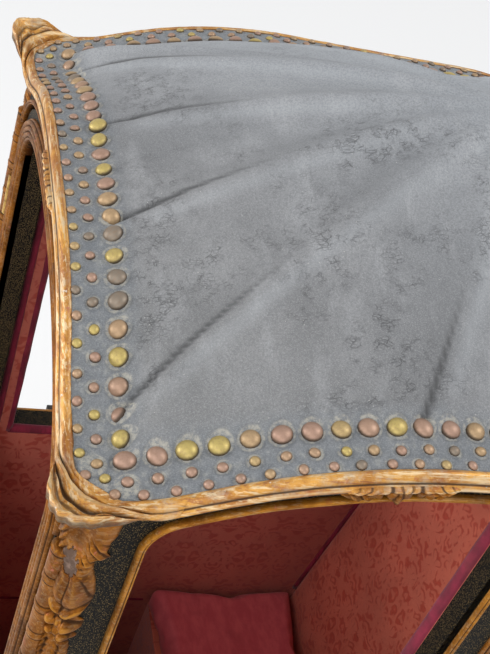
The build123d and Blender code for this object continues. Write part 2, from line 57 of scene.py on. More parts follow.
# %% Driving sizes, in metres
MM = 0.001
NAIL_PITCH = 27 * MM
HALF_W = 13 * NAIL_PITCH
HALF_D = 16 * NAIL_PITCH
RIM_Z = 1.600
CROWN = 0.228
WALL_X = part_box("side_frame_left")[1][0]
WALL_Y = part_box("back_frame")[1][1]
SILL_Z = 0.883

# Eaves: each row is distance from the middle and rise above the rim
FRONT_EAVE = ((0.0, 0.075), (0.095, 0.075), (0.190, 0.058), (0.298, 0.006), (0.9, 0.006))
SIDE_EAVE = ((0.0, 0.076), (0.180, 0.077), (0.290, 0.060), (0.385, 0.026), (0.425, 0.008), (0.9, 0.006))
EAVE_SOFTNESS = 45 * MM
SIDES = (-1, 1)
CORNERS = [(sx, sy) for sx in SIDES for sy in SIDES]


def between(value, low, high):
    """The share of the way from low to high, held between 0 and 1."""
    return min(1.0, max(0.0, (value - low) / (high - low)))


def ease(value, low, high):
    """The same share with a soft start and end."""
    share = between(value, low, high)
    return share * share * (3 - 2 * share)


def hill(value, middle, width):
    """A bell curve of height 1."""
    return math.exp(-((value - middle) / width) ** 2)


def read_table(table, distance):
    """Straight-line reading of a table of distances and heights."""
    for (d0, z0), (d1, z1) in zip(table, table[1:]):
        if distance <= d1:
            return z0 + (z1 - z0) * between(distance, d0, d1)
    return table[-1][1]


def eave(table, distance):
    """Height of the arched eaves above the rim, its corners rounded by averaging."""
    samples = 9
    steps = (EAVE_SOFTNESS * (2 * k / (samples - 1) - 1) for k in range(samples))
    return sum(read_table(table, abs(abs(distance) + step)) for step in steps) / samples


print("eaves rise, front and side:", eave(FRONT_EAVE, 0), eave(SIDE_EAVE, 0))

# %% [markdown]
# The camera stands above and in front of the near front corner, looking down through
# the side window. Its place and lens were worked out from the rows of nails, which are
# evenly spaced on the real roof.

# %% Camera
CAMERA_AT = Vector((1.0115, -0.6747, RIM_Z + 0.7675))
IMAGE_RIGHT = Vector((0.18111, 0.94131, 0.28485))
IMAGE_DOWN = Vector((0.68324, 0.08790, -0.72489))
LOOKS_ALONG = Vector((-0.70738, 0.32591, -0.62722))
FOCAL_PIXELS = 1146.0
IMAGE_HEIGHT = 654.0
SENSOR = 36.0


def make_camera():
    """A camera turned to the photograph's three image directions."""
    data = bpy.data.cameras.new("camera")
    data.sensor_width = SENSOR
    data.lens = FOCAL_PIXELS / IMAGE_HEIGHT * SENSOR
    camera = bpy.data.objects.new("camera", data)
    bpy.context.scene.collection.objects.link(camera)
    turn = Matrix((IMAGE_RIGHT, -IMAGE_DOWN, -LOOKS_ALONG)).transposed()
    camera.matrix_world = Matrix.Translation(CAMERA_AT) @ turn.to_4x4()
    bpy.context.scene.camera = camera


make_camera()
bpy.context.scene.view_settings.view_transform = "Standard"

# %% [markdown]
# Light is soft and comes mostly from above, as in a gallery. Four wide lamps give the
# leather its gentle shading and reach into the cabin, and a pale world fills the shadows.
# The floor is a plain pale sheet that glows a little, so that it meets the background.

# %% Light, floor and background
world = bpy.data.worlds.new("studio")
bpy.context.scene.world = world
world.use_nodes = True
WORLD_LIGHT = 0.60


def fill_world():
    """A soft grey world that the camera sees as a pale backdrop."""
    nodes = world.node_tree.nodes
    links = world.node_tree.links
    lit = nodes["Background"]
    lit.inputs["Color"].default_value = (0.95, 0.97, 1.0, 1)
    lit.inputs["Strength"].default_value = WORLD_LIGHT
    seen = nodes.new("ShaderNodeBackground")
    seen.inputs["Color"].default_value = (0.88, 0.88, 0.885, 1)
    seen.inputs["Strength"].default_value = 1.0
    rays = nodes.new("ShaderNodeLightPath")
    mix = nodes.new("ShaderNodeMixShader")
    shown = nodes.new("ShaderNodeMath")
    shown.operation = "MAXIMUM"
    links.new(rays.outputs["Is Camera Ray"], shown.inputs[0])
    links.new(rays.outputs["Is Glossy Ray"], shown.inputs[1])
    links.new(shown.outputs[0], mix.inputs[0])
    links.new(lit.outputs[0], mix.inputs[1])
    links.new(seen.outputs[0], mix.inputs[2])
    links.new(mix.outputs[0], nodes["World Output"].inputs["Surface"])


def lamp(name, place, aim, size, watts):
    """One wide soft lamp."""
    data = bpy.data.lights.new(name, "AREA")
    data.size = size
    data.energy = watts
    thing = bpy.data.objects.new(name, data)
    bpy.context.scene.collection.objects.link(thing)
    thing.location = place
    thing.rotation_mode = "QUATERNION"
    thing.rotation_quaternion = (Vector(aim) - Vector(place)).to_track_quat("-Z", "Y")


# Each row: name, place, the point it is aimed at, width, watts
LAMPS = (
    ("key", (0.6, 2.4, 5.2), (0, 0, 1.4), 2.2, 70),
    ("front", (1.8, -3.2, 4.2), (0, 0, 1.2), 2.6, 45),
    ("side", (3.6, -0.9, 2.1), (0, -0.1, 1.2), 2.4, 40),
    ("door", (-0.7, -3.4, 1.5), (0, 0.2, 1.1), 1.8, 60),
)

fill_world()
for row in LAMPS:
    lamp(*row)


FLOOR_HALF = 30.0
FLOOR_GREY = 0.40
FLOOR_GLOW = 0.58


def build_floor():
    """A plain pale floor under the feet."""
    bm = bmesh.new()
    bmesh.ops.create_grid(bm, x_segments=1, y_segments=1, size=FLOOR_HALF)
    data = bpy.data.meshes.new("floor")
    bm.to_mesh(data)
    bm.free()
    floor = bpy.data.objects.new("floor", data)
    bpy.context.scene.collection.objects.link(floor)
    paint = bpy.data.materials.new("pale floor")
    paint.use_nodes = True
    sockets = paint.node_tree.nodes["Principled BSDF"].inputs
    sockets["Base Color"].default_value = (FLOOR_GREY, FLOOR_GREY, FLOOR_GREY, 1)
    sockets["Roughness"].default_value = 0.9
    sockets["Emission Color"].default_value = (1, 1, 1, 1)
    sockets["Emission Strength"].default_value = FLOOR_GLOW
    data.materials.append(paint)
    return floor


build_floor()

# %% [markdown]
# Finishes are written as sums. A small class wraps a socket so that an expression such
# as 1 - mask adds its own Math nodes, and every other node comes from one method.


# %% Shader sums
class Wire:
    """The value that leaves one socket, ready for arithmetic."""

    def __init__(self, finish, socket):
        self.finish = finish
        self.socket = socket

    def does(self, operation, *others):
        """One Math node with this value first."""
        values = dict(enumerate((self, *others)))
        return self.finish.node("Math", {"operation": operation}, values)

    def __add__(self, other):
        return self.does("ADD", other)

    def __radd__(self, other):
        return self.does("ADD", other)

    def __sub__(self, other):
        return self.does("SUBTRACT", other)

    def __rsub__(self, other):
        return self.finish.node("Math", {"operation": "SUBTRACT"}, {0: other, 1: self})

    def __mul__(self, other):
        return self.does("MULTIPLY", other)

    def __rmul__(self, other):
        return self.does("MULTIPLY", other)

    def __truediv__(self, other):
        return self.does("DIVIDE", other)

    def __pow__(self, other):
        return self.does("POWER", other)

    def __abs__(self):
        return self.does("ABSOLUTE")

    def __mod__(self, other):
        return self.does("FLOORED_MODULO", other)

    def rises(self, low, high):
        """0 below low, 1 above high, with a soft change between; low may be the larger."""
        values = {0: self, 1: low, 2: high, 3: 0.0, 4: 1.0}
        return self.finish.node("MapRange", {"interpolation_type": "SMOOTHSTEP"}, values)


class Finish:
    """A material while it is being written."""

    def __init__(self, name):
        self.material = bpy.data.materials.new(name)
        self.material.use_nodes = True
        self.tree = self.material.node_tree
        self.shader = self.tree.nodes["Principled BSDF"]

    def node(self, kind, settings=None, sockets=None, output=0):
        """Add one node: settings first, then the values or links of its sockets."""
        made = self.tree.nodes.new("ShaderNode" + kind)
        for key, value in (settings or {}).items():
            setattr(made, key, value)
        for key, value in (sockets or {}).items():
            self.feed(made.inputs[key], value)
        return Wire(self, made.outputs[output])

    def feed(self, socket, value):
        """Link a wire to a socket, or set the socket to a plain value."""
        if isinstance(value, Wire):
            self.tree.links.new(value.socket, socket)
        else:
            socket.default_value = value

    def place(self):
        """The point on the object."""
        return self.node("TexCoord", output="Object")

    def part(self, point, *axes):
        """One of the three numbers of a point for each axis asked for."""
        return [self.node("SeparateXYZ", None, {0: point}, output="XYZ".index(axis)) for axis in axes]

    def own(self, name):
        """A number that the piece carries at each point."""
        return self.node("Attribute", {"attribute_name": name}, output="Fac")

    def point(self, x, y, z):
        """A vector from three numbers."""
        return self.node("CombineXYZ", None, {0: x, 1: y, 2: z})

    def stretch(self, vector, scale):
        """A vector multiplied by three numbers."""
        return self.node("VectorMath", {"operation": "MULTIPLY"}, {0: vector, 1: scale})

    def mixed(self, share, first, second):
        """A colour between two colours."""
        return self.node("Mix", {"data_type": "RGBA"}, {0: share, 6: first, 7: second}, output=2)

    def layered(self, base, *layers):
        """A colour with further colours laid over it, each by its own share."""
        for share, colour in layers:
            base = self.mixed(share, base, shade(*colour))
        return base

    def noise(self, vector, scale, detail=3.0, rough=0.55):
        """Cloudy noise around one half."""
        sockets = {"Vector": vector, "Scale": scale, "Detail": detail, "Roughness": rough}
        return self.node("TexNoise", None, sockets)

    def cells(self, vector, scale, feature="F1", output="Distance"):
        """A cell pattern: its distance or another output."""
        sockets = {"Vector": vector, "Scale": scale}
        return self.node("TexVoronoi", {"feature": feature}, sockets, output=output)

    def bump(self, height, distance, strength=1.0):
        """A Bump node for a height in units of the given distance."""
        return self.node("Bump", None, {"Strength": strength, "Distance": distance, "Height": height})

    def done(self, colour, roughness, normal=None, **constants):
        """Feed the shader and return the material."""
        self.feed(self.shader.inputs["Base Color"], colour)
        self.feed(self.shader.inputs["Roughness"], roughness)
        if normal is not None:
            self.feed(self.shader.inputs["Normal"], normal)
        for key, value in constants.items():
            self.feed(self.shader.inputs[key.replace("_", " ")], value)
        return self.material


def strongest(masks):
    """The largest of several masks at each point."""
    result = masks[0]
    for mask in masks[1:]:
        result = result.does("MAXIMUM", mask)
    return result


def shade(red, green, blue):
    """A colour given as it looks on a screen, from 0 to 255."""
    parts = [channel / 255 for channel in (red, green, blue)]
    linear = [c / 12.92 if c < 0.04045 else ((c + 0.055) / 1.055) ** 2.4 for c in parts]
    return (*linear, 1.0)


# %% [markdown]
# The roof leather is dusty blue-black calf that has dried to grey. Close up it has a fine
# grain, nets of shallow cracks that run in patches, pale specks, and a pale ring of dust
# and old polish round every nail. The rings follow the nails' own spacing, so they are
# worked out from the place on the roof rather than drawn. Light and shade are painted in
# too: the slopes towards the lamps and at the back are painted lighter, the far slopes
# darker, the pleats dark, and one side of each ridge lighter and the other darker.

# %% Leather
MEDIUM_OUT = 23 * MM
SMALL_OUT = 38.5 * MM
# Each row: radius of the nails, distance out from the line of large nails, shift along it
DUST_RINGS = ((10.8 * MM, 0.0, 0.0), (5.8 * MM, MEDIUM_OUT, 0.0), (5.2 * MM, SMALL_OUT, NAIL_PITCH / 2))


def nearest_nail(across, along, out, shift):
    """Distance to the nearest nail of a straight row that lies out from the nail line."""
    step = (along + (shift + NAIL_PITCH / 2)) % NAIL_PITCH - NAIL_PITCH / 2
    gap = across - out
    return (step * step + gap * gap) ** 0.5


def leather_finish():
    """Grey dusty leather with cracks, specks and dust rings, and painted light and shade on its slopes,
    pleats and ridges.
    """
    f = Finish("roof leather")
    point = f.place()
    x, y = f.part(point, "X", "Y")
    side_gap = abs(x) - HALF_W
    front_gap = abs(y) - HALF_D
    clouds = f.noise(point, 5.0, 5.0, 0.6)
    streaks = f.noise(f.stretch(point, (9.0, 34.0, 20.0)), 1.0, 4.0, 0.6)
    rings = []
    presses = []
    for radius, out, shift in DUST_RINGS:
        near_side = nearest_nail(side_gap, y, out, shift)
        near_front = nearest_nail(front_gap, x, out, shift)
        distance = near_side.does("MINIMUM", near_front)
        rings.append(distance.rises(radius + 2.6 * MM, radius + 0.6 * MM))
        presses.append(distance.rises(radius + 4.5 * MM, radius))
    on_band = side_gap.does("MAXIMUM", front_gap).rises(-0.026, -0.004)
    grain = f.cells(point, 620.0)
    fine = f.noise(point, 420.0, 3.0)
    grit = f.noise(f.stretch(point, (1100.0, 700.0, 900.0)), 1.0, 2.0, 0.7)
    bend = f.node("TexNoise", None, {"Vector": point, "Scale": 38.0, "Detail": 3.0}, output="Color")
    nets = []
    for scale, spread, width in ((118.0, 2.6, 0.05), (205.0, 2.2, 0.07)):
        bent = f.node("VectorMath", {"operation": "ADD"}, {
            0: f.stretch(point, (scale * 1.5, scale * 0.72, scale)),
            1: f.stretch(bend, (spread, spread, spread))})
        nets.append(f.cells(bent, 1.0, "DISTANCE_TO_EDGE").rises(width, 0.0))
    breaks = f.noise(point, 70.0, 3.0, 0.6).rises(0.44, 0.58)
    patches = f.noise(point, 7.0, 4.0, 0.6).rises(0.45, 0.62)
    cracks = nets[0].does("MAXIMUM", nets[1] * 0.7) * patches * breaks * (1 - on_band)
    speck_cell = f.cells(point, 150.0)
    specks = speck_cell.rises(0.10, 0.05) * f.noise(point, 30.0, 2.0).rises(0.55, 0.62)
    dark_marks = f.noise(point, 60.0, 3.0, 0.7).rises(0.64, 0.74)
    dust = strongest(rings) * f.noise(point, 210.0, 3.0, 0.7).rises(0.36, 0.66)
    grimy = f.noise(point, 95.0, 4.0, 0.7)
    painted_light_slope = y - x * 0.8
    painted_rib_shading = f.own("hollow")
    base = f.layered(
        shade(108, 108, 109),
        (clouds.rises(0.36, 0.66), (140, 140, 141)),
        # Painted light: the slopes that face the lamps are painted lighter.
        (painted_light_slope.rises(-0.55, 0.35) * 0.85, (176, 181, 187)),
        # Painted light: the rear slopes are painted lighter still.
        (y.rises(0.05, 0.42) * 0.45, (204, 211, 218)),
        # Painted shade: the slopes turned away from the lamps are painted darker.
        (painted_light_slope.rises(-0.35, -0.75) * 0.45, (108, 109, 108)),
        (streaks.rises(0.48, 0.70) * 0.30, (172, 173, 175)),
        (on_band * 0.75, (118, 122, 126)),
        (on_band * grimy.rises(0.48, 0.64) * 0.45, (96, 102, 108)),
        (on_band * grimy.rises(0.46, 0.36) * 0.35, (166, 166, 158)),
        (fine.rises(0.42, 0.62) * 0.34, (100, 102, 105)),
        (grit.rises(0.48, 0.66) * 0.26, (190, 191, 190)),
        (dark_marks * 0.25, (104, 104, 106)),
        (cracks * 0.75, (80, 80, 81)),
        # Painted shade in the pleats and painted light beside the ridges, read from the hollow attribute.
        (painted_rib_shading.rises(0.02, 1.0) * 0.85, (62, 62, 63)),
        (painted_rib_shading.rises(-0.02, -0.60) * 0.5, (196, 200, 204)),
        (dust * 0.60, (192, 186, 170)),
        (specks * 0.7, (206, 203, 197)),
    )
    rough = 0.58 + clouds * 0.14
    height = grain * 0.10 + fine * 0.16 - cracks * 0.9 - strongest(presses) * 1.3 + specks * 0.2
    coarse = f.noise(f.stretch(point, (24.0, 52.0, 24.0)), 1.0, 4.0)
    normal = f.bump(height + coarse * 1.7, 1.1 * MM, 0.75)
    return f.done(base, rough, normal, Specular_IOR_Level=0.40)


def lining_finish():
    """Plain woven cloth for the underside of the roof."""
    f = Finish("roof lining silk")
    point = f.place()
    x, y = f.part(point, "X", "Y")
    threads = (x * 5200).does("SINE") * (y * 5200).does("SINE")
    clouds = f.noise(point, 9.0, 4.0)
    base = f.layered(shade(112, 34, 34), (clouds.rises(0.35, 0.65), (138, 46, 42)))
    return f.done(base, 0.8, f.bump(threads, 0.15 * MM, 0.5), Sheen_Weight=0.2)


LEATHER = leather_finish()
ROOF_LINING = lining_finish()
print("leather is ready:", len(LEATHER.node_tree.nodes), "nodes")

# %% [markdown]
# Water gilding over red clay on limewood: bright where hands have polished it, brown and
# dusty in the hollows, with chips that show the pale ground. Carved pieces carry an
# attribute called hollow, near 1 in their cuts, which gathers the dirt; below 0, on raised
# parts, it gives a painted highlight, and on the eaves it also marks painted shade on the
# underside and beside the leather.


# %% Gilding
def gilt_finish(name, dark, light, dust, ground, glint=(236, 206, 156), metal=0.35, shine=0.40):
    """Old gold leaf: bright where it is rubbed, brown in its cuts, dusty and chipped, with a painted
    highlight on raised parts and painted shade on the eaves' underside.
    """
    f = Finish(name)
    point = f.place()
    x, y = f.part(point, "X", "Y")
    hollow = f.own("hollow")
    clouds = f.noise(point, 26.0, 5.0, 0.65)
    rubbed = f.noise(point, 55.0, 5.0, 0.7)
    flecks = f.noise(point, 260.0, 3.0, 0.6)
    on_side = (abs(x) - HALF_W - abs(y) + HALF_D).rises(-0.008, 0.008)

    def lengthwise(fine, coarse, detail, rough):
        """Noise drawn out along the side or the front, whichever the piece is on."""
        along_y = f.noise(f.stretch(point, (fine, coarse, fine)), 1.0, detail, rough)
        along_x = f.noise(f.stretch(point, (coarse, fine, fine)), 1.0, detail, rough)
        return along_y * on_side + along_x * (1 - on_side)

    scratches = lengthwise(420.0, 46.0, 3.0, 0.6)
    streak = lengthwise(260.0, 15.0, 4.0, 0.65)
    bole = rubbed.rises(0.62, 0.68) * flecks.rises(0.50, 0.62)
    chips = rubbed.rises(0.40, 0.35) * flecks.rises(0.54, 0.62)
    film = f.noise(point, 38.0, 4.0, 0.7).rises(0.50, 0.70)
    bare = (hollow + flecks * 0.6).rises(1.55, 1.95)
    # The darkening follows the hollow attribute: dirt in the cuts, and painted shade on the eaves' underside
    # and beside the leather.
    grime_and_shade = (hollow + flecks * 0.3 - 0.15).rises(0.15, 0.90) * (1 - bare)
    gold = f.layered(
        shade(*dark),
        (clouds.rises(0.34, 0.68), light),
        (streak.rises(0.51, 0.60) * dust * 0.75, (226, 204, 164)),
        (streak.rises(0.45, 0.37) * dust * 0.75, (150, 92, 58)),
        (scratches.rises(0.56, 0.72) * 0.55, ground),
        (rubbed.rises(0.56, 0.70) * 0.55, (150, 86, 46)),
        (flecks.rises(0.56, 0.70) * 0.30, glint),
        (bole * 0.7, (176, 104, 92)),
        (chips * dust, (214, 200, 180)),
        (film * dust * 0.6, (186, 172, 150)),
        # Painted highlight on raised parts, whose hollow value is below 0.
        (hollow.rises(-0.15, -0.75) * 0.6, glint),
        (grime_and_shade * 0.90, (50, 28, 12)),
        (bare * 0.80, (122, 106, 98)),
        (bare * rubbed.rises(0.46, 0.58) * 0.7, (78, 60, 48)),
    )
    rough = 0.38 + rubbed * 0.22 + grime_and_shade * 0.25
    f.feed(f.shader.inputs["Metallic"], metal - grime_and_shade * 0.25 - bare * 0.3)
    height = clouds * 0.8 + rubbed * 0.9 + scratches * 0.45 + flecks * 0.35 - chips * 0.6
    return f.done(gold, rough, f.bump(height, 1.0 * MM, 0.65), Specular_IOR_Level=shine)


# Lit and shaded copies of one gilding: the moulding and carving gilts of the body are painted darker and
# browner as painted shade below the eaves, and the eaves gilt is the lighter copy.
GILT = gilt_finish("gilded moulding", (130, 80, 22), (178, 120, 40), 0.20, (92, 52, 14),
                   (214, 160, 70), 0.60, 0.15)
CARVED_GILT = gilt_finish("gilded body carving", (94, 52, 10), (144, 88, 24), 0.12, (58, 30, 8),
                          (196, 136, 50), 0.60, 0.12)
EAVES_GILT = gilt_finish("gilded eaves", (162, 104, 40), (214, 158, 74), 0.95, (104, 60, 26))

# %% [markdown]
# The timber of the body is lacquered black and strewn with flakes of gold foil, the
# speckled ground called aventurine. The flakes are cells whose middle is near the
# surface: only a share of them shows, and each has its own brightness.


# %% Black lacquer with gold flakes
def lacquer_finish():
    """Black lacquer strewn with small gold flakes."""
    f = Finish("speckled black lacquer")
    point = f.place()
    flakes = []
    for scale, rare, size in ((880.0, 0.30, 0.38), (560.0, 0.55, 0.30)):
        cell = f.cells(point, scale)
        lot = f.node("SeparateColor", None, {0: f.cells(point, scale, output="Color")}, output=0)
        flakes.append(cell.rises(size, size * 0.7) * lot.rises(rare, rare + 0.3))
    shown = strongest(flakes)
    haze = f.noise(point, 7.0, 4.0)
    dust = f.noise(point, 300.0, 2.0)
    base = f.layered(
        shade(5, 5, 4),
        (haze.rises(0.35, 0.7), (10, 9, 8)),
        (dust.rises(0.55, 0.75) * 0.15, (34, 32, 26)),
        (shown * 0.52, (170, 142, 92)),
    )
    f.feed(f.shader.inputs["Metallic"], shown * 0.4)
    rough = 0.50 + haze * 0.2
    normal = f.bump(f.noise(point, 34.0, 3.0) + shown * 0.15, 0.5 * MM, 0.3)
    return f.done(base, rough, normal, Specular_IOR_Level=0.10)


LACQUER = lacquer_finish()

# %% [markdown]
# The walls are hung with brick-red silk damask. A damask has one colour of thread: the
# ground is satin and the pattern is matt, so the two differ in tone and in shine. The
# figure's lighter colour here is painted sheen. The pattern here is the traditional one of
# large flower heads in an ogee net of leafy stems, worked out from waves and polar petals.
# Every other row is shifted by half a repeat.

# %% Silk damask
REPEAT_W = 150 * MM
REPEAT_H = 215 * MM
FLOWER_AT = (0.0, 0.012)
# Each leaf: its place in the repeat, its size and how many lobes it has
LEAVES = (
    ((0.052, 0.062), 0.026, 5),
    ((0.050, -0.050), 0.029, 6),
    ((0.0, -0.082), 0.027, 5),
    ((0.022, 0.090), 0.015, 3),
)


def petals(u, v, at, size, count, depth, turn=0.0):
    """Distance from a point as a share of a petalled edge round it, and the angle."""
    du = u - at[0]
    dv = v - at[1]
    angle = dv.does("ARCTAN2", du)
    lobes = abs((angle * (count / 2) + turn).does("COSINE"))
    edge = (lobes * depth + (1 - depth)) * size
    return from_point(u, v, at) / edge, angle


def from_point(u, v, at):
    """Distance from a point of the pattern."""
    du = u - at[0]
    dv = v - at[1]
    return (du * du + dv * dv) ** 0.5


def damask_pattern(f, across, up):
    """The woven figure: 1 on the pattern, 0 on the ground."""
    bend = f.noise(f.point(across, up, 0.3), 20.0, 2.0)
    across = across + (bend - 0.5) * 0.016
    row = (up / REPEAT_H).does("FLOOR")
    odd = row % 2.0
    u = ((across / REPEAT_W + odd * 0.5) % 1.0) - 0.5
    v = ((up / REPEAT_H) % 1.0) - 0.5
    u = u * REPEAT_W
    v = v * REPEAT_H
    mirrored = abs(u)
    # Large flower head: an outer ring of petals, a gap, inner petals and a seeded middle
    outer = petals(mirrored, v, FLOWER_AT, 0.040, 7, 0.30)[0]
    inner = petals(mirrored, v, FLOWER_AT, 0.024, 5, 0.35, 0.6)[0]
    figures = [
        outer.rises(1.02, 0.94) * outer.rises(0.70, 0.76),
        inner.rises(1.03, 0.92) * inner.rises(0.52, 0.62),
        from_point(mirrored, v, FLOWER_AT).rises(0.0078, 0.0066),
    ]
    # Leaves that curl up and down beside the flower
    for place, size, count in LEAVES:
        leaf, angle = petals(mirrored, v, place, size, count, 0.45, 0.9)
        veins = abs((angle * 4.0).does("SINE")).rises(0.12, 0.34)
        figures.append(leaf.rises(1.03, 0.93) * veins.does("MAXIMUM", leaf.rises(0.45, 0.38)))
    # Stems of the ogee net
    wave = (v * (2 * math.pi / REPEAT_H)).does("COSINE")
    figures.append(abs(mirrored - (0.044 - wave * 0.026)).rises(0.0040, 0.0026))
    figures.append(abs(mirrored - (0.056 - wave * 0.022)).rises(0.0020, 0.0010) * 0.8)
    # Scrolling foliage that fills the ground between, as contour lines of soft noise
    level = f.noise(f.point(mirrored, v, 0.9), 34.0, 1.0, 0.4) * 5.0 % 1.0
    figures.append(level.rises(0.30, 0.42) * level.rises(0.96, 0.84) * 0.9)
    return strongest(figures)


def damask_finish(name, across_axis, ground, figure):
    """Figured silk for a wall that runs along one axis."""
    f = Finish(name)
    point = f.place()
    across, z = f.part(point, across_axis, "Z")
    figured = damask_pattern(f, across, z)
    ribs = (z * 4200).does("SINE")
    twill = ((across + z) * 5200).does("SINE")
    clouds = f.noise(point, 6.0, 4.0)
    slubs = f.noise(f.stretch(point, (60.0, 60.0, 900.0)), 1.0, 3.0)
    base = f.layered(
        shade(*ground),
        # Painted sheen: the figure is painted lighter than the ground.
        (figured, figure),
        (clouds.rises(0.35, 0.7) * 0.30, (122, 52, 40)),
        (slubs.rises(0.5, 0.75) * 0.16, (176, 92, 74)),
    )
    rough = 0.50 + figured * 0.26
    weave = ribs * (1 - figured) * 0.5 + twill * figured * 0.5
    normal = f.bump(weave * 0.12 + figured * 0.55 + clouds * 1.5, 0.7 * MM, 0.5)
    return f.done(base, rough, normal, Sheen_Weight=0.25, Sheen_Roughness=0.5)


SIDE_DAMASK = damask_finish("damask along the sides", "Y", (168, 66, 50), (188, 98, 78))
# Painted light: the copy across the back is painted lighter than the side one, to make up for the deeper
# shade on the back wall; the seat box and door lining use it too.
LIGHTENED_BACK_DAMASK = damask_finish("damask across the back", "X", (188, 74, 52), (210, 108, 82))

# %% [markdown]
# Seat and pipings are crimson silk velvet. Its pile lies in patches, so the colour moves
# between dark and bright in soft strokes, and sheen lights the edges that turn away.


# %% Velvet, timber and metals
def velvet_finish(name, dark, light):
    """Crimson velvet with brushed pile."""
    f = Finish(name)
    point = f.place()
    strokes = f.noise(f.stretch(point, (26.0, 60.0, 26.0)), 1.0, 4.0, 0.6)
    pile = f.noise(point, 900.0, 2.0)
    rubbed = f.noise(point, 11.0, 4.0)
    base = f.layered(
        shade(*dark),
        (strokes.rises(0.35, 0.68), light),
        (rubbed.rises(0.56, 0.75) * 0.35, (150, 62, 64)),
        (pile.rises(0.4, 0.8) * 0.15, (96, 22, 34)),
    )
    normal = f.bump(strokes * 1.2 + pile * 0.3, 0.8 * MM, 0.4)
    return f.done(base, 0.85, normal, Sheen_Weight=0.12, Sheen_Roughness=0.4)


def wood_finish(name, dark, light, rough=0.45):
    """Straight-grained wood, its grain along Y."""
    f = Finish(name)
    point = f.place()
    x, z = f.part(point, "X", "Z")
    warp = f.noise(f.stretch(point, (22.0, 1.6, 22.0)), 1.0, 3.0)
    rings = (x * 300 + z * 240 + warp * 26).does("SINE")
    pores = f.noise(f.stretch(point, (900.0, 30.0, 900.0)), 1.0, 2.0)
    handled = f.noise(point, 8.0, 4.0)
    base = f.layered(
        shade(*dark),
        (rings.rises(-0.9, 0.9), light),
        (pores.rises(0.58, 0.72) * 0.5, (34, 20, 12)),
        (handled.rises(0.5, 0.75) * 0.3, (120, 84, 52)),
    )
    normal = f.bump(rings * 0.15 - pores * 0.7, 0.4 * MM, 0.5)
    return f.done(base, rough + handled * 0.15, normal, Coat_Weight=0.15, Coat_Roughness=0.3)


def metal_finish(name, dark, light, spots, rough):
    """Aged metal with tarnish in soft patches."""
    f = Finish(name)
    point = f.place()
    clouds = f.noise(point, 60.0, 5.0, 0.65)
    pits = f.noise(point, 420.0, 3.0)
    base = f.layered(
        shade(*dark),
        (clouds.rises(0.35, 0.68), light),
        (pits.rises(0.58, 0.70) * 0.6, spots),
    )
    f.feed(f.shader.inputs["Metallic"], 0.9 - pits.rises(0.55, 0.75) * 0.6)
    return f.done(base, rough + clouds * 0.2, f.bump(clouds + pits * 0.5, 0.4 * MM, 0.4))


VELVET = velvet_finish("crimson velvet", (196, 84, 92), (212, 100, 106))
PIPING = velvet_finish("crimson piping", (96, 10, 34), (134, 24, 52))
POLE_WOOD = wood_finish("ash pole", (92, 58, 34), (134, 92, 56))
FLOOR_WOOD = wood_finish("oak floor", (84, 56, 34), (118, 82, 52), 0.6)
IRON = metal_finish("forged iron", (46, 44, 44), (82, 80, 80), (96, 52, 30), 0.45)
BRASS = metal_finish("brass fittings", (150, 112, 54), (204, 168, 98), (86, 66, 40), 0.3)


def nail_finish():
    """Domed brass nails; the attribute tone says how pink or yellow each one is, and a painted shade darkens
    the low rim of each dome.
    """
    f = Finish("brass nails")
    point = f.place()
    tone = f.own("tone")
    brushed = f.noise(point, 330.0, 4.0, 0.7)
    pits = f.noise(point, 1500.0, 2.0)
    # Painted shade: the low rim of each dome is darkened.
    grime_and_shade = f.own("hollow").rises(0.05, 0.85)
    base = f.layered(
        shade(166, 134, 116),
        (tone.rises(0.40, 0.75), (174, 146, 110)),
        (tone.rises(0.80, 0.96), (186, 166, 98)),
        (tone.rises(0.22, 0.05), (132, 120, 106)),
        (brushed.rises(0.42, 0.72) * 0.45, (140, 112, 86)),
        (pits.rises(0.6, 0.75) * 0.3, (104, 86, 68)),
        (grime_and_shade * 0.92, (62, 50, 38)),
    )
    f.feed(f.shader.inputs["Metallic"], 0.45 - grime_and_shade * 0.35)
    rough = 0.34 + brushed * 0.2 + grime_and_shade * 0.3
    return f.done(base, rough, f.bump(brushed + pits * 0.3, 0.25 * MM, 0.4))


NAIL_METAL = nail_finish()

# %% [markdown]
# Every piece of the frame keeps its solid and takes the finish of its slot. What is
# carved, stretched or upholstered is replaced further on.

# %% Finishes on the solids
SLOT_FINISH = {
    "gilt": GILT,
    "black_paint": LACQUER,
    "damask": SIDE_DAMASK,
    "velvet": VELVET,
    "iron": IRON,
    "leather_roof": LEATHER,
    "floor_wood": FLOOR_WOOD,
    "pole_wood": POLE_WOOD,
    "brass": BRASS,
}
NODE_FINISH = {"seat_box": LIGHTENED_BACK_DAMASK, "door_lining": LIGHTENED_BACK_DAMASK}


def dress_nodes():
    """Give each solid the finish that its slot or its name asks for."""
    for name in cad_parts:
        for slot in bpy.data.objects[name].material_slots:
            plain = slot.material.name.split(".")[0] if slot.material else ""
            finish = NODE_FINISH.get(name) or SLOT_FINISH.get(plain)
            if finish:
                slot.material = finish
            else:
                print("no finish for", name, plain)


dress_nodes()

# %% [markdown]
# Almost every new surface here is one idea: a flat grid from the grid operator whose two
# directions mean something on the piece, such as along a moulding and round its section.
# Moving the grid's points by a rule gives the shape. Seams are merged afterwards, open
# ends are filled, and the normals are made to point outwards.


# %% Shaped grids
def shaped_grid(bm, across, along, rule, hollow=None):
    """Add a grid whose points go where rule(u, v) says; u and v run from 0 to 1."""
    made = bmesh.ops.create_grid(bm, x_segments=across, y_segments=along, size=1.0)["verts"]
    layer = bm.verts.layers.float.get("hollow") if hollow else None
    for point in made:
        u = (point.co.x + 1) / 2
        v = (point.co.y + 1) / 2
        point.co = rule(u, v)
        if layer:
            point[layer] = hollow(u, v)
    return made


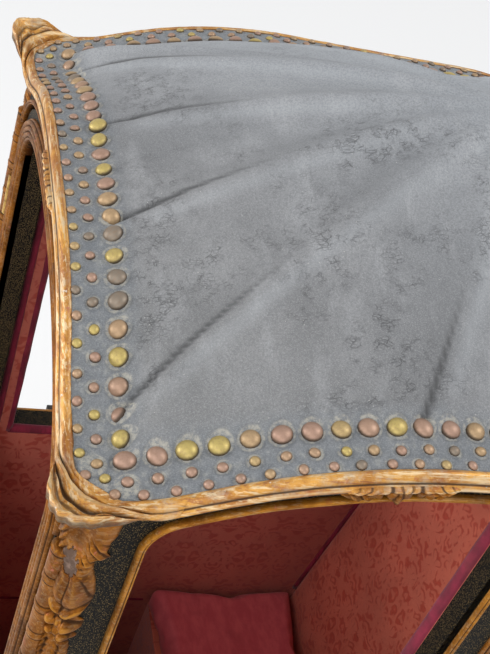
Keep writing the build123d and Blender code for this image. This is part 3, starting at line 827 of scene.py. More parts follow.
def finish_piece(name, bm, materials, body, fill=True, merge=0.02 * MM):
    """Close a bmesh, turn it into a smooth object and let it ride on a body."""
    bmesh.ops.remove_doubles(bm, verts=bm.verts, dist=merge)
    if fill:
        bmesh.ops.holes_fill(bm, edges=[edge for edge in bm.edges if edge.is_boundary])
    bmesh.ops.recalc_face_normals(bm, faces=bm.faces)
    data = bpy.data.meshes.new(name)
    bm.to_mesh(data)
    bm.free()
    data.shade_smooth()
    for material in materials:
        data.materials.append(material)
    thing = bpy.data.objects.new(name, data)
    bpy.context.scene.collection.objects.link(thing)
    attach(thing, body)
    print(name, "has", len(data.polygons), "faces")
    return thing


def new_bmesh():
    """A bmesh with the attribute hollow, which carries dirt, painted shade and painted highlight."""
    bm = bmesh.new()
    bm.verts.layers.float.new("hollow")
    return bm


def wobble(point, scale, size):
    """A small steady unevenness, the same on every run."""
    return noise.noise(point * scale) * size


# %% [markdown]
# The roof is one hide stretched over twelve light ribs: four run to the front eaves, four
# to the back and two to each side. The leather is taut, so it sags a little between the
# ribs and pinches into a pleat where a rib meets the nails. Its height is a rule on the
# plan: the eaves give the edge, the crown the middle, and a power curve the rise between.

# %% Roof height
BAND_OUT = 43.5 * MM
EDGE_FALL = 0.16
FRONT_RIBS = (0.090, 0.297)
SIDE_RIB = 0.160
RIB_SAG = 9 * MM
USUAL_SPAN = 0.26
RIDGE_TALL = 4.2 * MM
RIDGE_WIDE = 10 * MM
PLEAT = 6.5 * MM
PLEAT_ASIDE = 3 * MM
FOLD_ASIDE = -9 * MM
DIAGONAL_BLEND = 20 * MM
RISE_FRONT = 1.57
RISE_SIDE = 1.45
RISE_HIP = 1.65
RISE_EDGE = 0.9


def rib_lines():
    """Plan ends of the twelve ribs."""
    ends = []
    for sx, sy in CORNERS:
        ends += [(sx * x, sy * HALF_D) for x in FRONT_RIBS]
        ends.append((sx * HALF_W, sy * SIDE_RIB))
    return ends


RIB_ENDS = rib_lines()


def rise_within(edge_x, edge_y, on_side, far):
    """Height inside the nail line, measured from the side eaves or from the front and back ones."""
    full = RISE_HIP + RISE_EDGE * far ** 6
    if on_side:
        edge = eave(SIDE_EAVE, edge_y)
        share = between(abs(edge_y), SIDE_RIB, HALF_D)
        power = RISE_SIDE + (full - RISE_SIDE) * share
    else:
        edge = eave(FRONT_EAVE, edge_x)
        share = between(abs(edge_x), FRONT_RIBS[0], FRONT_RIBS[1])
        power = RISE_FRONT + (full - RISE_FRONT) * share
    return edge + (CROWN - edge) * (1 - far ** power) + between_ribs(edge_x, edge_y, on_side, far)


def roof_height(x, y):
    """Height of the leather above the rim at one place on the plan."""
    far = max(abs(x) / HALF_W, abs(y) / HALF_D, 0.0001)
    inside = min(far, 1.0)
    lean = (abs(x) - HALF_W * inside) - (abs(y) - HALF_D * inside)
    to_side = ease(lean, -DIAGONAL_BLEND, DIAGONAL_BLEND)
    if far > 1:
        along_front = eave(FRONT_EAVE, x)
        edge = along_front + (eave(SIDE_EAVE, y) - along_front) * to_side
        return edge - EDGE_FALL * math.hypot(max(abs(x) - HALF_W, 0.0), max(abs(y) - HALF_D, 0.0))
    height = 0.0
    if to_side > 0:
        height += to_side * rise_within(x / far, y / far, True, far)
    if to_side < 1:
        height += (1 - to_side) * rise_within(x / far, y / far, False, far)
    return height


def between_ribs(edge_x, edge_y, on_side, far):
    """How far the leather sags between two ribs, measured round the eaves."""
    corner_run = (HALF_W - FRONT_RIBS[1]) + (HALF_D - SIDE_RIB)
    if on_side:
        place = abs(edge_y)
        if place > SIDE_RIB:
            share, span = (place - SIDE_RIB) / corner_run, corner_run
        else:
            share, span = (place / SIDE_RIB + 1) / 2, 2 * SIDE_RIB
    else:
        place = abs(edge_x)
        if place > FRONT_RIBS[1]:
            share, span = 1 - (place - FRONT_RIBS[1]) / corner_run, corner_run
        elif place > FRONT_RIBS[0]:
            span = FRONT_RIBS[1] - FRONT_RIBS[0]
            share = (place - FRONT_RIBS[0]) / span
        else:
            share, span = (place / FRONT_RIBS[0] + 1) / 2, 2 * FRONT_RIBS[0]
    middle = math.sin(math.pi * share) ** 2
    return -RIB_SAG * span / USUAL_SPAN * middle * 4 * far * (1 - far)


def rib_relief(x, y):
    """The soft ridge of each rib and the pleat at its end."""
    far = max(abs(x) / HALF_W, abs(y) / HALF_D)
    if far > 1.0 or far < 0.03:
        return 0.0
    relief = 0.0
    for end_x, end_y in RIB_ENDS:
        length = math.hypot(end_x, end_y)
        along = (x * end_x + y * end_y) / length
        if along <= 0:
            continue
        aside = (x * end_y - y * end_x) / length
        ridge = RIDGE_TALL * hill(aside, 0, RIDGE_WIDE)
        ridge *= ease(far, 0.05, 0.3) * (1 - ease(far, 0.80, 0.95))
        near_end = 0.35 * ease(far, 0.55, 0.84) + 0.65 * ease(far, 0.84, 0.975)
        groove = PLEAT * hill(aside, PLEAT_ASIDE, 5 * MM) * near_end
        fold = 0.55 * PLEAT * hill(aside, FOLD_ASIDE, 6 * MM) * near_end
        relief += ridge - groove + fold
    return relief


def pleat_shade_and_ridge_light(x, y):
    """Painted shade in each pleat, and painted light and shade on the two sides of each ridge."""
    far = max(abs(x) / HALF_W, abs(y) / HALF_D)
    if far > 1.02:
        return 0.0
    # The sum is painted shade in the pleats, and painted light and shade on either side of each ridge.
    dirt = 0.0
    for end_x, end_y in RIB_ENDS:
        length = math.hypot(end_x, end_y)
        if x * end_x + y * end_y > 0:
            aside = (x * end_y - y * end_x) / length
            near_end = ease(far, 0.50, 0.93) * (1 - 0.7 * ease(far, 0.97, 1.01))
            dirt += hill(aside, PLEAT_ASIDE, 3.8 * MM) * near_end
            broad = ease(far, 0.08, 0.35) * (1 - ease(far, 0.88, 0.98))
            dirt += 0.26 * broad * (hill(aside, 16 * MM, 22 * MM) - hill(aside, -14 * MM, 16 * MM))
    return max(-1.0, min(1.0, dirt))


def leather_point(x, y):
    """One point of the leather, in the frame."""
    z = RIM_Z + roof_height(x, y) + rib_relief(x, y)
    uneven = wobble(Vector((x, y, 0.4)), 16, 1.3 * MM) + wobble(Vector((x, y, 1.7)), 45, 0.5 * MM)
    return Vector((x, y, z + uneven))


# %% [markdown]
# The leather could be lofted from sections, but a height rule lets the pleats, ridges and
# the flat nail band share one surface. The grid covers the whole plan; its corners are cut
# off on the diagonal, where the carved corner pieces take over, and a thickness is added
# inwards, with the lining cloth on the inner side.

# %% Roof leather
GRID_STEP = 5 * MM
CORNER_CUT = 36 * MM
SHELL_T = 9 * MM


def build_leather():
    """The hide, its band and the cloth below it, as one closed skin."""
    half_x = HALF_W + BAND_OUT
    half_y = HALF_D + BAND_OUT
    bm = new_bmesh()
    across = round(2 * half_x / GRID_STEP)
    along = round(2 * half_y / GRID_STEP)
    shaped_grid(bm, across, along,
                lambda u, v: leather_point((2 * u - 1) * half_x, (2 * v - 1) * half_y),
                lambda u, v: pleat_shade_and_ridge_light((2 * u - 1) * half_x, (2 * v - 1) * half_y))
    for sx, sy in CORNERS:
        out = Vector((sx, sy, 0)).normalized()
        corner = Vector((sx * HALF_W, sy * HALF_D, 0)) + out * CORNER_CUT
        geometry = [*bm.verts, *bm.edges, *bm.faces]
        bmesh.ops.bisect_plane(bm, geom=geometry, plane_co=corner, plane_no=out, clear_outer=True)
    skin = finish_piece("roof_leather", bm, [LEATHER, ROOF_LINING], "roof", fill=False)
    shell = skin.modifiers.new("thickness", "SOLIDIFY")
    shell.thickness = SHELL_T
    shell.offset = -1
    shell.material_offset = 1
    return skin


roof_leather = build_leather()
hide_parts("roof_shell", "roof_band")

# %% [markdown]
# A gilt cornice runs round the eaves below the leather: a broad rounded band, a groove
# and a thin bead. Each side is one profile carried along the eaves line. At the corners
# the same profile grows into a flared carved shell, so one table gives both row by row,
# and a corner piece passes from one to the other.

# %% Cornice and shell profiles
CORNICE_IN = 43 * MM
CORNICE_OUT = 55.5 * MM
CORNER_T = 70.7 * MM
SHELL_IN = 35 * MM
SHELL_TIP = 92 * MM
SHELL_FLARE = 24 * MM
# Each row: share of the way outward and height in mm on the cornice, the same on the
# corner shell, and the hollow value there: dirt in the grooves, painted shade on the
# underside and beside the leather, and below 0 a painted highlight on the raised rolls
PROFILE_ROWS = (
    (0.00, 0.0, 0.00, 0.0, 0.7),
    (0.10, 1.0, 0.04, 1.6, -0.3),
    (0.30, 1.8, 0.09, 1.4, -0.2),
    (0.52, 1.0, 0.115, -0.2, 0.2),
    (0.66, -0.8, 0.15, 1.2, 0.0),
    (0.76, -3.6, 0.19, 1.0, 0.1),
    (0.79, -6.6, 0.215, -1.6, 0.5),
    (0.78, -8.6, 0.235, -3.6, 1.0),
    (0.85, -9.8, 0.26, -1.0, 0.3),
    (0.93, -10.8, 0.30, 3.6, -0.2),
    (0.98, -12.2, 0.38, 6.0, -0.5),
    (1.00, -13.6, 0.46, 4.8, -0.2),
    (1.00, -14.8, 0.53, 0.6, 0.5),
    (0.985, -15.9, 0.57, -2.6, 1.0),
    (0.95, -16.7, 0.62, -1.4, 0.5),
    (0.92, -17.0, 0.68, 0.4, 0.1),
    (0.89, -17.2, 0.74, -1.8, 0.7),
    (0.86, -17.4, 0.80, -2.2, 0.5),
    (0.82, -17.5, 0.87, 0.6, 0.0),
    (0.76, -17.6, 0.93, 2.4, -0.4),
    (0.68, -17.8, 0.975, 2.0, -0.3),
    (0.56, -18.0, 1.00, -0.4, 0.0),
    (0.44, -18.0, 0.985, -3.4, 0.4),
    (0.30, -18.0, 0.93, -6.0, 0.8),
    (0.10, -20.0, 0.76, -12.0, 0.8),
    (-0.10, -23.0, 0.45, -17.5, 0.8),
    (-0.30, -22.5, 0.15, -19.0, 0.8),
    (-0.40, -12.0, -0.12, -14.0, 0.8),
    (-0.30, -5.0, -0.12, -6.0, 0.8),
)


def smooth_row(rows, share):
    """A row between the rows of a closed table, on a smooth curve through them."""
    count = len(rows)
    place = share * count
    index = int(math.floor(place)) % count
    t = place - math.floor(place)
    before, here, after, beyond = (rows[(index + step) % count] for step in (-1, 0, 1, 2))
    return [0.5 * (2 * b + (c - a) * t + (2 * a - 5 * b + 4 * c - d) * t * t
                   + (3 * b - a - 3 * c + d) * t ** 3)
            for a, b, c, d in zip(before, here, after, beyond)]


def soft_least(first, second, width):
    """The smaller of two lengths, with a rounded change."""
    return -width * math.log(math.exp(-first / width) + math.exp(-second / width))


def cornice_line(x, y):
    """Height of the leather's outer edge, from which the cornice is measured."""
    return RIM_Z + roof_height(x, y)


def worn(x, y, z):
    """Small dents and swellings of old carved wood."""
    return wobble(Vector((x, y, z)), 60, 0.5 * MM) + wobble(Vector((z, x, y)), 190, 0.25 * MM)


# %% [markdown]
# On a straight side every station has the same section, only its height follows the
# arched eaves. The ends are cut on the slant where the corner pieces start.

# %% Cornice
RUN_STATIONS = 90
AROUND = 87
# How far back from the nail line's corner the slanting cut starts
MITRE_BACK = 96 * MM


def add_cornice_run(bm, normal, half_across, half_along):
    """One side of the cornice, along the wall whose outward direction is normal."""
    sideways = Vector((-normal.y, normal.x, 0))

    def rule(u, v):
        across, fall = smooth_row(PROFILE_ROWS, v)[:2]
        out = CORNICE_IN + (CORNICE_OUT - CORNICE_IN) * across
        reach = half_along - (MITRE_BACK - out)
        spot = normal * (half_across + out) + sideways * ((2 * u - 1) * reach)
        edge = normal * (half_across + CORNICE_IN) + sideways * ((2 * u - 1) * reach)
        z = cornice_line(edge.x, edge.y) + fall * MM
        dent = worn(spot.x, spot.y, z)
        return Vector((spot.x, spot.y, z + dent))

    shaped_grid(bm, RUN_STATIONS, AROUND, rule, lambda u, v: smooth_row(PROFILE_ROWS, v)[4])


def build_cornice():
    """The four straight runs as one piece."""
    bm = new_bmesh()
    for sign in SIDES:
        add_cornice_run(bm, Vector((sign, 0, 0)), HALF_W, HALF_D)
        add_cornice_run(bm, Vector((0, sign, 0)), HALF_D, HALF_W)
    return finish_piece("eaves_cornice", bm, [EAVES_GILT], "roof")


eaves_cornice = build_cornice()
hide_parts("roof_cornice")

# %% [markdown]
# Each corner shell is measured on the diagonal: s runs outward from the corner nail and t
# across. The plain fillet stays beside the leather, the bead swells into a roll, and a
# hollow with radiating leaf cuts ends in a scalloped lip that turns up at the tip.

# %% Corner shells
CORNER_STATIONS = 76
LEAF_CUTS = 7
LEAF_SPREAD = 90 * MM
TIP_RISE = 20 * MM


def add_corner(bm, sx, sy):
    """One carved corner, between the ends of two cornice runs."""
    outward = Vector((sx, sy, 0)).normalized()
    across = Vector((sx, -sy, 0)).normalized()
    nail = Vector((sx * HALF_W, sy * HALF_D, 0))

    def rule(u, v):
        t = (2 * u - 1) * CORNER_T
        run_share, run_fall, shell_share, shell_fall = smooth_row(PROFILE_ROWS, v)[:4]
        shell = 1 - ease(abs(t), 24 * MM, CORNER_T - 4 * MM)
        inner = soft_least(CORNICE_IN * math.sqrt(2) - abs(t), SHELL_IN, 3 * MM)
        flare = SHELL_FLARE * (1 - ease(abs(t), 22 * MM, CORNER_T))
        outer = soft_least(CORNICE_OUT * math.sqrt(2) - abs(t) + flare, SHELL_TIP, 7 * MM)
        share = run_share + (shell_share - run_share) * shell
        fall = run_fall + (shell_fall - run_fall) * shell
        s = inner + (outer - inner) * share
        upper = shell_fall > -5
        cuts = math.cos(LEAF_CUTS * math.pi * t / LEAF_SPREAD)
        in_hollow = hill(shell_share, 0.70, 0.13) * shell
        lip = hill(shell_share, 0.97, 0.06) * shell
        below = shell * ease(-shell_fall, 8, 20)
        fall += 2.6 * cuts * in_hollow - 1.4 * abs(cuts) * lip + 3.2 * abs(math.sin(t / (9 * MM))) * below
        s += 2.2 * MM * abs(cuts) * lip
        fall += shell * 0.55 * math.sin(shell_share * 62 + t * 60) * upper
        spot = nail + outward * s + across * t
        edge_x = min(abs(spot.x), HALF_W + CORNICE_IN)
        edge_y = min(abs(spot.y), HALF_D + CORNICE_IN)
        z = cornice_line(edge_x, edge_y) + fall * MM
        z += TIP_RISE * shell * share * abs(share) * (1 if upper else 0.6)
        dent = worn(spot.x, spot.y, z) * (1 + shell)
        broken = wobble(Vector((spot.x, z, spot.y)), 260, 0.9 * MM) * lip
        return Vector((spot.x, spot.y, z + dent + broken)) + outward * broken

    def dirt(u, v):
        shell = 1 - ease(abs(2 * u - 1), 0.35, 0.95)
        return smooth_row(PROFILE_ROWS, v)[4] * (0.7 + 0.3 * shell)

    shaped_grid(bm, CORNER_STATIONS, AROUND + 30, rule, dirt)


def build_corners():
    """All four corner shells as one piece."""
    bm = new_bmesh()
    for sx, sy in CORNERS:
        add_corner(bm, sx, sy)
    return finish_piece("corner_shells", bm, [EAVES_GILT], "roof")


corner_shells = build_corners()
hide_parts("roof_corners")

# %% [markdown]
# Three rows of brass nails hold the leather: large domes on the line of the eaves, medium
# ones beside them, and small ones at the very edge. Hundreds are needed, so a large and a
# small dome are copied into a single mesh, and a steady random draw gives each its own
# tilt, size and colour.

# %% Nails
NAIL_ROWS = (
    # radius, height, distance out, shift along the row in pitches, depth the edge sinks
    (10.2 * MM, 8.2 * MM, 0.0, 0.0, 0.8 * MM),
    (5.6 * MM, 5.0 * MM, MEDIUM_OUT, 0.0, 0.5 * MM),
    (5.3 * MM, 4.9 * MM, SMALL_OUT, 0.5, 0.5 * MM),
)
CORNER_NAILS = ((25 * MM, 0.0), (32 * MM, -17 * MM), (32 * MM, 17 * MM))
NAILS_END = SHELL_IN * math.sqrt(2) - 4 * MM


def dome_template(segments, rings):
    """Half a ball, flat below, with its low edge marked as hollow for a painted shade."""
    bm = new_bmesh()
    bmesh.ops.create_uvsphere(bm, u_segments=segments, v_segments=rings, radius=1.0)
    geometry = [*bm.verts, *bm.edges, *bm.faces]
    bmesh.ops.bisect_plane(bm, geom=geometry, plane_co=(0, 0, 0), plane_no=(0, 0, -1), clear_outer=True)
    layer = bm.verts.layers.float["hollow"]
    for point in bm.verts:
        point[layer] = 1 - ease(point.co.z, 0.0, 0.72)
        flat = math.hypot(point.co.x, point.co.y)
        point.co.z = point.co.z ** 0.9 if point.co.z > 0 else point.co.z
        point.co.x *= 1 + 0.04 * flat
    bmesh.ops.holes_fill(bm, edges=[edge for edge in bm.edges if edge.is_boundary])
    data = bpy.data.meshes.new("nail dome")
    bm.to_mesh(data)
    bm.free()
    return data


def leather_surface(x, y):
    """A point of the leather and the direction square to it."""
    step = 2 * MM
    here = leather_point(x, y)
    normal = (leather_point(x + step, y) - here).cross(leather_point(x, y + step) - here)
    return here, normal.normalized()


def nail_places():
    """Row number and plan position of every nail."""
    for row, (out, shift) in enumerate(nails[2:4] for nails in NAIL_ROWS):
        for sign in SIDES:
            for half_across, half_along, turn in ((HALF_W, HALF_D, 0), (HALF_D, HALF_W, 1)):
                count = round(2 * half_along / NAIL_PITCH)
                for step in range(-1 if shift else 0, count + 1):
                    along = -half_along + (step + shift) * NAIL_PITCH
                    at_corner = out == 0.0 and step in (0, count)
                    across = sign * (half_across + out)
                    spot = (along, across) if turn else (across, along)
                    past_corner = abs(spot[0]) - HALF_W + abs(spot[1]) - HALF_D
                    if past_corner < NAILS_END and not (turn and at_corner):
                        yield row, spot
    for sx, sy in CORNERS:
        for s, t in CORNER_NAILS:
            yield 2, (sx * (HALF_W + (s + t) / math.sqrt(2)), sy * (HALF_D + (s - t) / math.sqrt(2)))


def build_nails():
    """Every nail, as one mesh with a colour draw for each."""
    draw = random.Random(14)
    large = dome_template(16, 12)
    small = dome_template(12, 8)
    bm = new_bmesh()
    tone = bm.verts.layers.float.new("tone")
    for row, (x, y) in nail_places():
        radius, height, *_, sink = NAIL_ROWS[row]
        x += draw.gauss(0, 0.6 * MM)
        y += draw.gauss(0, 0.6 * MM)
        here, normal = leather_surface(x, y)
        tilt = Vector((draw.gauss(0, 0.05), draw.gauss(0, 0.05), 0))
        turn = (normal + tilt).to_track_quat("Z", "Y").to_matrix().to_4x4()
        radius *= draw.uniform(0.94, 1.05)
        height *= draw.uniform(0.9, 1.1)
        oval = draw.uniform(0.95, 1.05)
        colour = draw.random()
        before = len(bm.verts)
        bm.from_mesh(large if row == 0 else small)
        bm.verts.ensure_lookup_table()
        added = bm.verts[before:]
        size = Matrix.Diagonal((radius * oval, radius / oval, height, 1))
        spin = Matrix.Rotation(draw.uniform(0, math.pi), 4, "Z")
        seat = Matrix.Translation(here - normal * sink)
        bmesh.ops.transform(bm, matrix=seat @ turn @ spin @ size, verts=added)
        for point in added:
            point[tone] = colour
    return finish_piece("brass_nails", bm, [NAIL_METAL], "roof", fill=False, merge=0.001 * MM)


build_nails()

# %% [markdown]
# The gilt mouldings round the window, the arches and the panels are one kind of piece: a
# section carried round an outline and mitred at the corners. Each section is a table of
# distance from the opening and height above the wall, in millimetres.

# %% Mouldings carried round an outline
PLAIN_SECTION = ((0, -9), (0, 4), (0.8, 5.6), (1.8, 5.8), (2.4, 4.6), (2.9, 4.8), (3.7, 6.6), (4.9, 7.4),
                 (6.2, 6.6), (7.2, 4.6), (7.8, 2.4), (7.8, -2))
FLUTED_SECTION = ((0, -9), (0, 4), (1.4, 6.2), (3.2, 6.4), (4.4, 4.6), (5.6, 4.2), (7.0, 7.4), (9.4, 9),
                  (11.8, 7.8), (13.2, 4.8), (14.8, 4.2), (16.4, 7.6), (18.8, 9), (21.2, 7.8), (22.6, 4.8),
                  (24.2, 4.2), (25.6, 7.4), (28, 8.8), (30.6, 8), (32.2, 5), (33.4, 4.4), (34.6, 3.4),
                  (35, 1.2), (35, -2))
PANEL_SECTION = ((0, -9.5), (0, 2), (1.5, 4.6), (4, 5), (6, 3), (7, 2.6), (8.4, 4), (10, 3.8), (11.5, 1.6),
                 (12, -2), (12, -9.5))


def arch_points(half, spring, rise, turns=44):
    """Points over a flat oval arch, from its right end to its left."""
    angles = [math.pi * k / turns for k in range(turns + 1)]
    return [(half * math.cos(angle), spring + rise * math.sin(angle)) for angle in angles]


def arch_outline(half, spring, rise, low):
    """Points round an opening with a flat oval head, anticlockwise from its low corner."""
    return [(-half, low), (half, low), *arch_points(half, spring, rise)]


def box_outline(low, high):
    """The four corners of an opening, anticlockwise."""
    return [low, (high[0], low[1]), high, (low[0], high[1])]


def stations(outline):
    """Outline points, each with the mitred direction that leads away from the opening."""
    count = len(outline)
    result = []
    for index, here in enumerate(outline):
        here = Vector(here)
        back = here - Vector(outline[index - 1])
        ahead = Vector(outline[(index + 1) % count]) - here
        first = Vector((back.y, -back.x)).normalized()
        second = Vector((ahead.y, -ahead.x)).normalized()
        result.append((here, (first + second) / (1 + first.dot(second))))
    return result + result[:1]


def add_moulding(bm, outline, section, place):
    """Carry a section round a closed outline, mitred at its corners."""
    carry_section(bm, stations(outline), section, place)


def carry_section(bm, ring, section, place):
    """Carry a section along stations; place turns wall coordinates into the frame."""
    steps = len(ring) - 1
    count = len(section)

    def rule(u, v):
        here, away = ring[round(u * steps)]
        out, proud = section[round(v * count) % count]
        spot = here + away * (out * MM)
        point = place(spot.x, proud * MM, spot.y)
        return point + Vector((0, 0, 1)) * worn(point.x, point.y, point.z) * 0.6

    def dirt(u, v):
        index = round(v * count) % count
        proud = section[index][1]
        beside = (section[index - 1][1] + section[(index + 1) % count][1]) / 2
        return 0.9 if proud < beside - 0.2 or proud < 1 else 0.0

    shaped_grid(bm, steps, count, rule, dirt)


def soften(piece, width, segments=2):
    """Round the edges of a piece whose faces meet sharply."""
    weld = piece.modifiers.new("weld", "WELD")
    weld.merge_threshold = 0.02 * MM
    bevel = piece.modifiers.new("rounded edges", "BEVEL")
    bevel.width = width
    bevel.segments = segments
    bevel.limit_method = "ANGLE"
    bevel.angle_limit = math.radians(40)


def on_front(x, proud, z):
    """A point on the front wall."""
    return Vector((x, -WALL_Y - proud, z))


def on_back(x, proud, z):
    """A point on the back wall."""
    return Vector((-x, WALL_Y + proud, z))


def on_side(sign):
    """A rule for points on one side wall."""
    return lambda y, proud, z: Vector((sign * (WALL_X + proud), y, z))


ARC_STEPS = 10


def rounded(points, radii):
    """A polygon's outline, each corner replaced by a short arc of the given radius."""
    outline = []
    count = len(points)
    for index, radius in enumerate(radii):
        here = Vector(points[index])
        back = (Vector(points[index - 1]) - here).normalized()
        ahead = (Vector(points[(index + 1) % count]) - here).normalized()
        if radius == 0:
            outline.append(tuple(here))
            continue
        half_turn = (math.pi - back.angle(ahead)) / 2
        reach = radius * math.tan(half_turn)
        middle = here + (back + ahead).normalized() * (radius / math.cos(half_turn))
        start = here + back * reach - middle
        end = here + ahead * reach - middle
        for k in range(ARC_STEPS + 1):
            turn = start.lerp(end, k / ARC_STEPS).normalized() * radius
            outline.append(tuple(middle + turn))
    return outline


def finer(outline, step=45 * MM):
    """The same outline with extra points along its long straight runs."""
    result = []
    for here, ahead in zip(outline, outline[1:] + outline[:1]):
        run = Vector(ahead) - Vector(here)
        parts = max(1, round(run.length / step))
        result += [tuple(Vector(here) + run * (k / parts)) for k in range(parts)]
    return result


def shrunk(low, high, by):
    """Two opposite corners moved towards each other."""
    return (low[0] + by, low[1] + by), (high[0] - by, high[1] - by)


# %% [markdown]
# Each window keeps a plain moulding with a round outer bead. Its head follows the eaves,
# so the outline comes from the same few points as the opening in the wall.

# %% Window, panel and doorway mouldings
JAMB_FRONT = -0.400
JAMB_REAR = -0.010
WINDOW_POINTS = ((JAMB_FRONT, SILL_Z), (JAMB_REAR, SILL_Z), (JAMB_REAR, RIM_Z + 0.023),
                 (-0.186, RIM_Z + 0.023), (-0.310, RIM_Z - 0.002), (JAMB_FRONT, RIM_Z - 0.040))
WINDOW_BENDS = (0, 0, 0.045, 0.5, 0.5, 0.042)
LOWER_PANEL_LOW = 0.145
LOWER_PANEL_TOP = 0.763
REAR_PANEL = 0.034
SIDE_PANELS = (
    ((JAMB_FRONT, LOWER_PANEL_LOW), (JAMB_REAR, LOWER_PANEL_TOP)),
    ((REAR_PANEL, LOWER_PANEL_LOW), (0.400, LOWER_PANEL_TOP)),
    ((REAR_PANEL, SILL_Z), (0.400, 1.580)),
)
BACK_STILE = 0.301
BACK_SPRING = 1.470
BACK_RISE = 0.090
PANEL_MOULDING = 12 * MM
window_outline = finer(rounded(WINDOW_POINTS, WINDOW_BENDS))

for side, sign in (("left", 1), ("right", -1)):
    bm = new_bmesh()
    add_moulding(bm, window_outline, PLAIN_SECTION, on_side(sign))
    piece = finish_piece("window_surround_" + side, bm, [GILT], "chair")
    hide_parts("window_moulding_" + side)
    bm = new_bmesh()
    for low, high in SIDE_PANELS:
        outline = finer(box_outline(*shrunk(low, high, PANEL_MOULDING)))
        add_moulding(bm, outline, PANEL_SECTION, on_side(sign))
    piece = finish_piece("panel_surrounds_" + side, bm, [CARVED_GILT], "chair")
    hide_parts("panel_mouldings_" + side)

bm = new_bmesh()
low, high = shrunk((-BACK_STILE, LOWER_PANEL_LOW), (BACK_STILE, LOWER_PANEL_TOP), PANEL_MOULDING)
add_moulding(bm, finer(box_outline(low, high)), PANEL_SECTION, on_back)
add_moulding(bm, finer(arch_outline(BACK_STILE - PANEL_MOULDING, BACK_SPRING, BACK_RISE - PANEL_MOULDING,
                                    SILL_Z + PANEL_MOULDING)), PANEL_SECTION, on_back)
back_surrounds = finish_piece("back_surrounds", bm, [CARVED_GILT], "chair")
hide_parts("back_mouldings")

# %% [markdown]
# The door's moulding is broad and fluted. It covers the whole stile, and over the arch it
# narrows, so each point is placed between an inner and an outer outline of the same count.

# %% Door moulding and the arch over it
DOOR_HALF = 0.297
DOOR_SPRING = 1.480
DOOR_RISE = 0.101
DOOR_MOULDING = 35 * MM
DOOR_CROWN = 28 * MM
HEADER_HALF = 0.345
HEADER_SPRING = 1.500
HEADER_RISE = 0.118
HEADER_NARROWED = 12 / 13


def add_door_moulding(bm):
    """The fluted surround of the door's window."""
    inner = finer(arch_outline(DOOR_HALF, DOOR_SPRING, DOOR_RISE, SILL_Z))
    scale = (DOOR_HALF + DOOR_MOULDING) / DOOR_HALF
    tall = (DOOR_RISE + DOOR_CROWN) / DOOR_RISE
    ring = []
    for x, z in inner + inner[:1]:
        if z > DOOR_SPRING:
            outer = Vector((x * scale, DOOR_SPRING + (z - DOOR_SPRING) * tall))
        else:
            fall = (DOOR_SPRING - z) / (DOOR_SPRING - SILL_Z)
            outer = Vector((x * scale, z - DOOR_MOULDING * fall))
        ring.append((Vector((x, z)), (outer - Vector((x, z))) / DOOR_MOULDING))
    carry_section(bm, ring, FLUTED_SECTION, on_front)


bm = new_bmesh()
add_door_moulding(bm)
door_low, door_high = shrunk((-DOOR_HALF, 0.162), (DOOR_HALF, LOWER_PANEL_TOP), PANEL_MOULDING)
add_moulding(bm, finer(box_outline(door_low, door_high)), PANEL_SECTION, on_front)
door_surround = finish_piece("door_surround", bm, [CARVED_GILT], "door")
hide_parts("door_mouldings")

bm = new_bmesh()
arch = arch_points(HEADER_HALF, HEADER_SPRING, HEADER_RISE, 60)
ring = [(Vector((x, z)), Vector((x / HEADER_HALF, (z - HEADER_SPRING) / HEADER_RISE))) for x, z in arch]
carry_section(bm, ring, [(out * HEADER_NARROWED, proud) for out, proud in PLAIN_SECTION], on_front)
doorway_arch = finish_piece("doorway_arch", bm, [CARVED_GILT], "chair")
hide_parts("header_arch")

# %% [markdown]
# A round bead stands on each front post beside the door, marked at even steps by three
# fine turned rings.

# %% Post beads
BEAD_X = 0.368
BEAD_Y = WALL_Y - 1 * MM
BEAD_R = 11.4 * MM
BEAD_LOW = 0.125
BEAD_TOP = RIM_Z - 0.092
BEAD_PITCH = 46 * MM


def bead_radius(down):
    """Radius of the bead at a distance below its top, with its turned rings."""
    near = (down + 0.4 * BEAD_PITCH) % BEAD_PITCH - 0.4 * BEAD_PITCH
    rings = sum(hill(near, k * 3.0 * MM, 1.0 * MM) for k in (-1, 0, 1))
    ditch = hill(abs(near), 5.6 * MM, 1.2 * MM)
    return BEAD_R + 0.9 * MM * rings - 0.3 * MM * ditch


bm = new_bmesh()
for sign in SIDES:
    def bead_rule(u, v, sign=sign):
        down = v * (BEAD_TOP - BEAD_LOW)
        radius = bead_radius(down) * (1 - 0.5 * ease(down, 2 * MM, 0))
        spot = Vector((sign * BEAD_X, -BEAD_Y, BEAD_TOP - down))
        angle = 2 * math.pi * u
        aside = Vector((math.cos(angle), math.sin(angle), 0))
        dent = wobble(spot + aside * BEAD_R, 45, 0.3 * MM)
        return spot + aside * (radius + dent)
    shaped_grid(bm, 18, 620, bead_rule,
                lambda u, v: 0.9 if bead_radius(v * (BEAD_TOP - BEAD_LOW)) < BEAD_R - 0.1 * MM else 0.0)
finish_piece("post_beads", bm, [CARVED_GILT], "chair")

# %% [markdown]
# Carving comes next: a relief whose height is a rule on two numbers, how far across and
# how far down. A table of rows gives the outline and the general swelling, and each part
# of the carving, such as veins, a curled tip or a scroll, adds its own small hill.

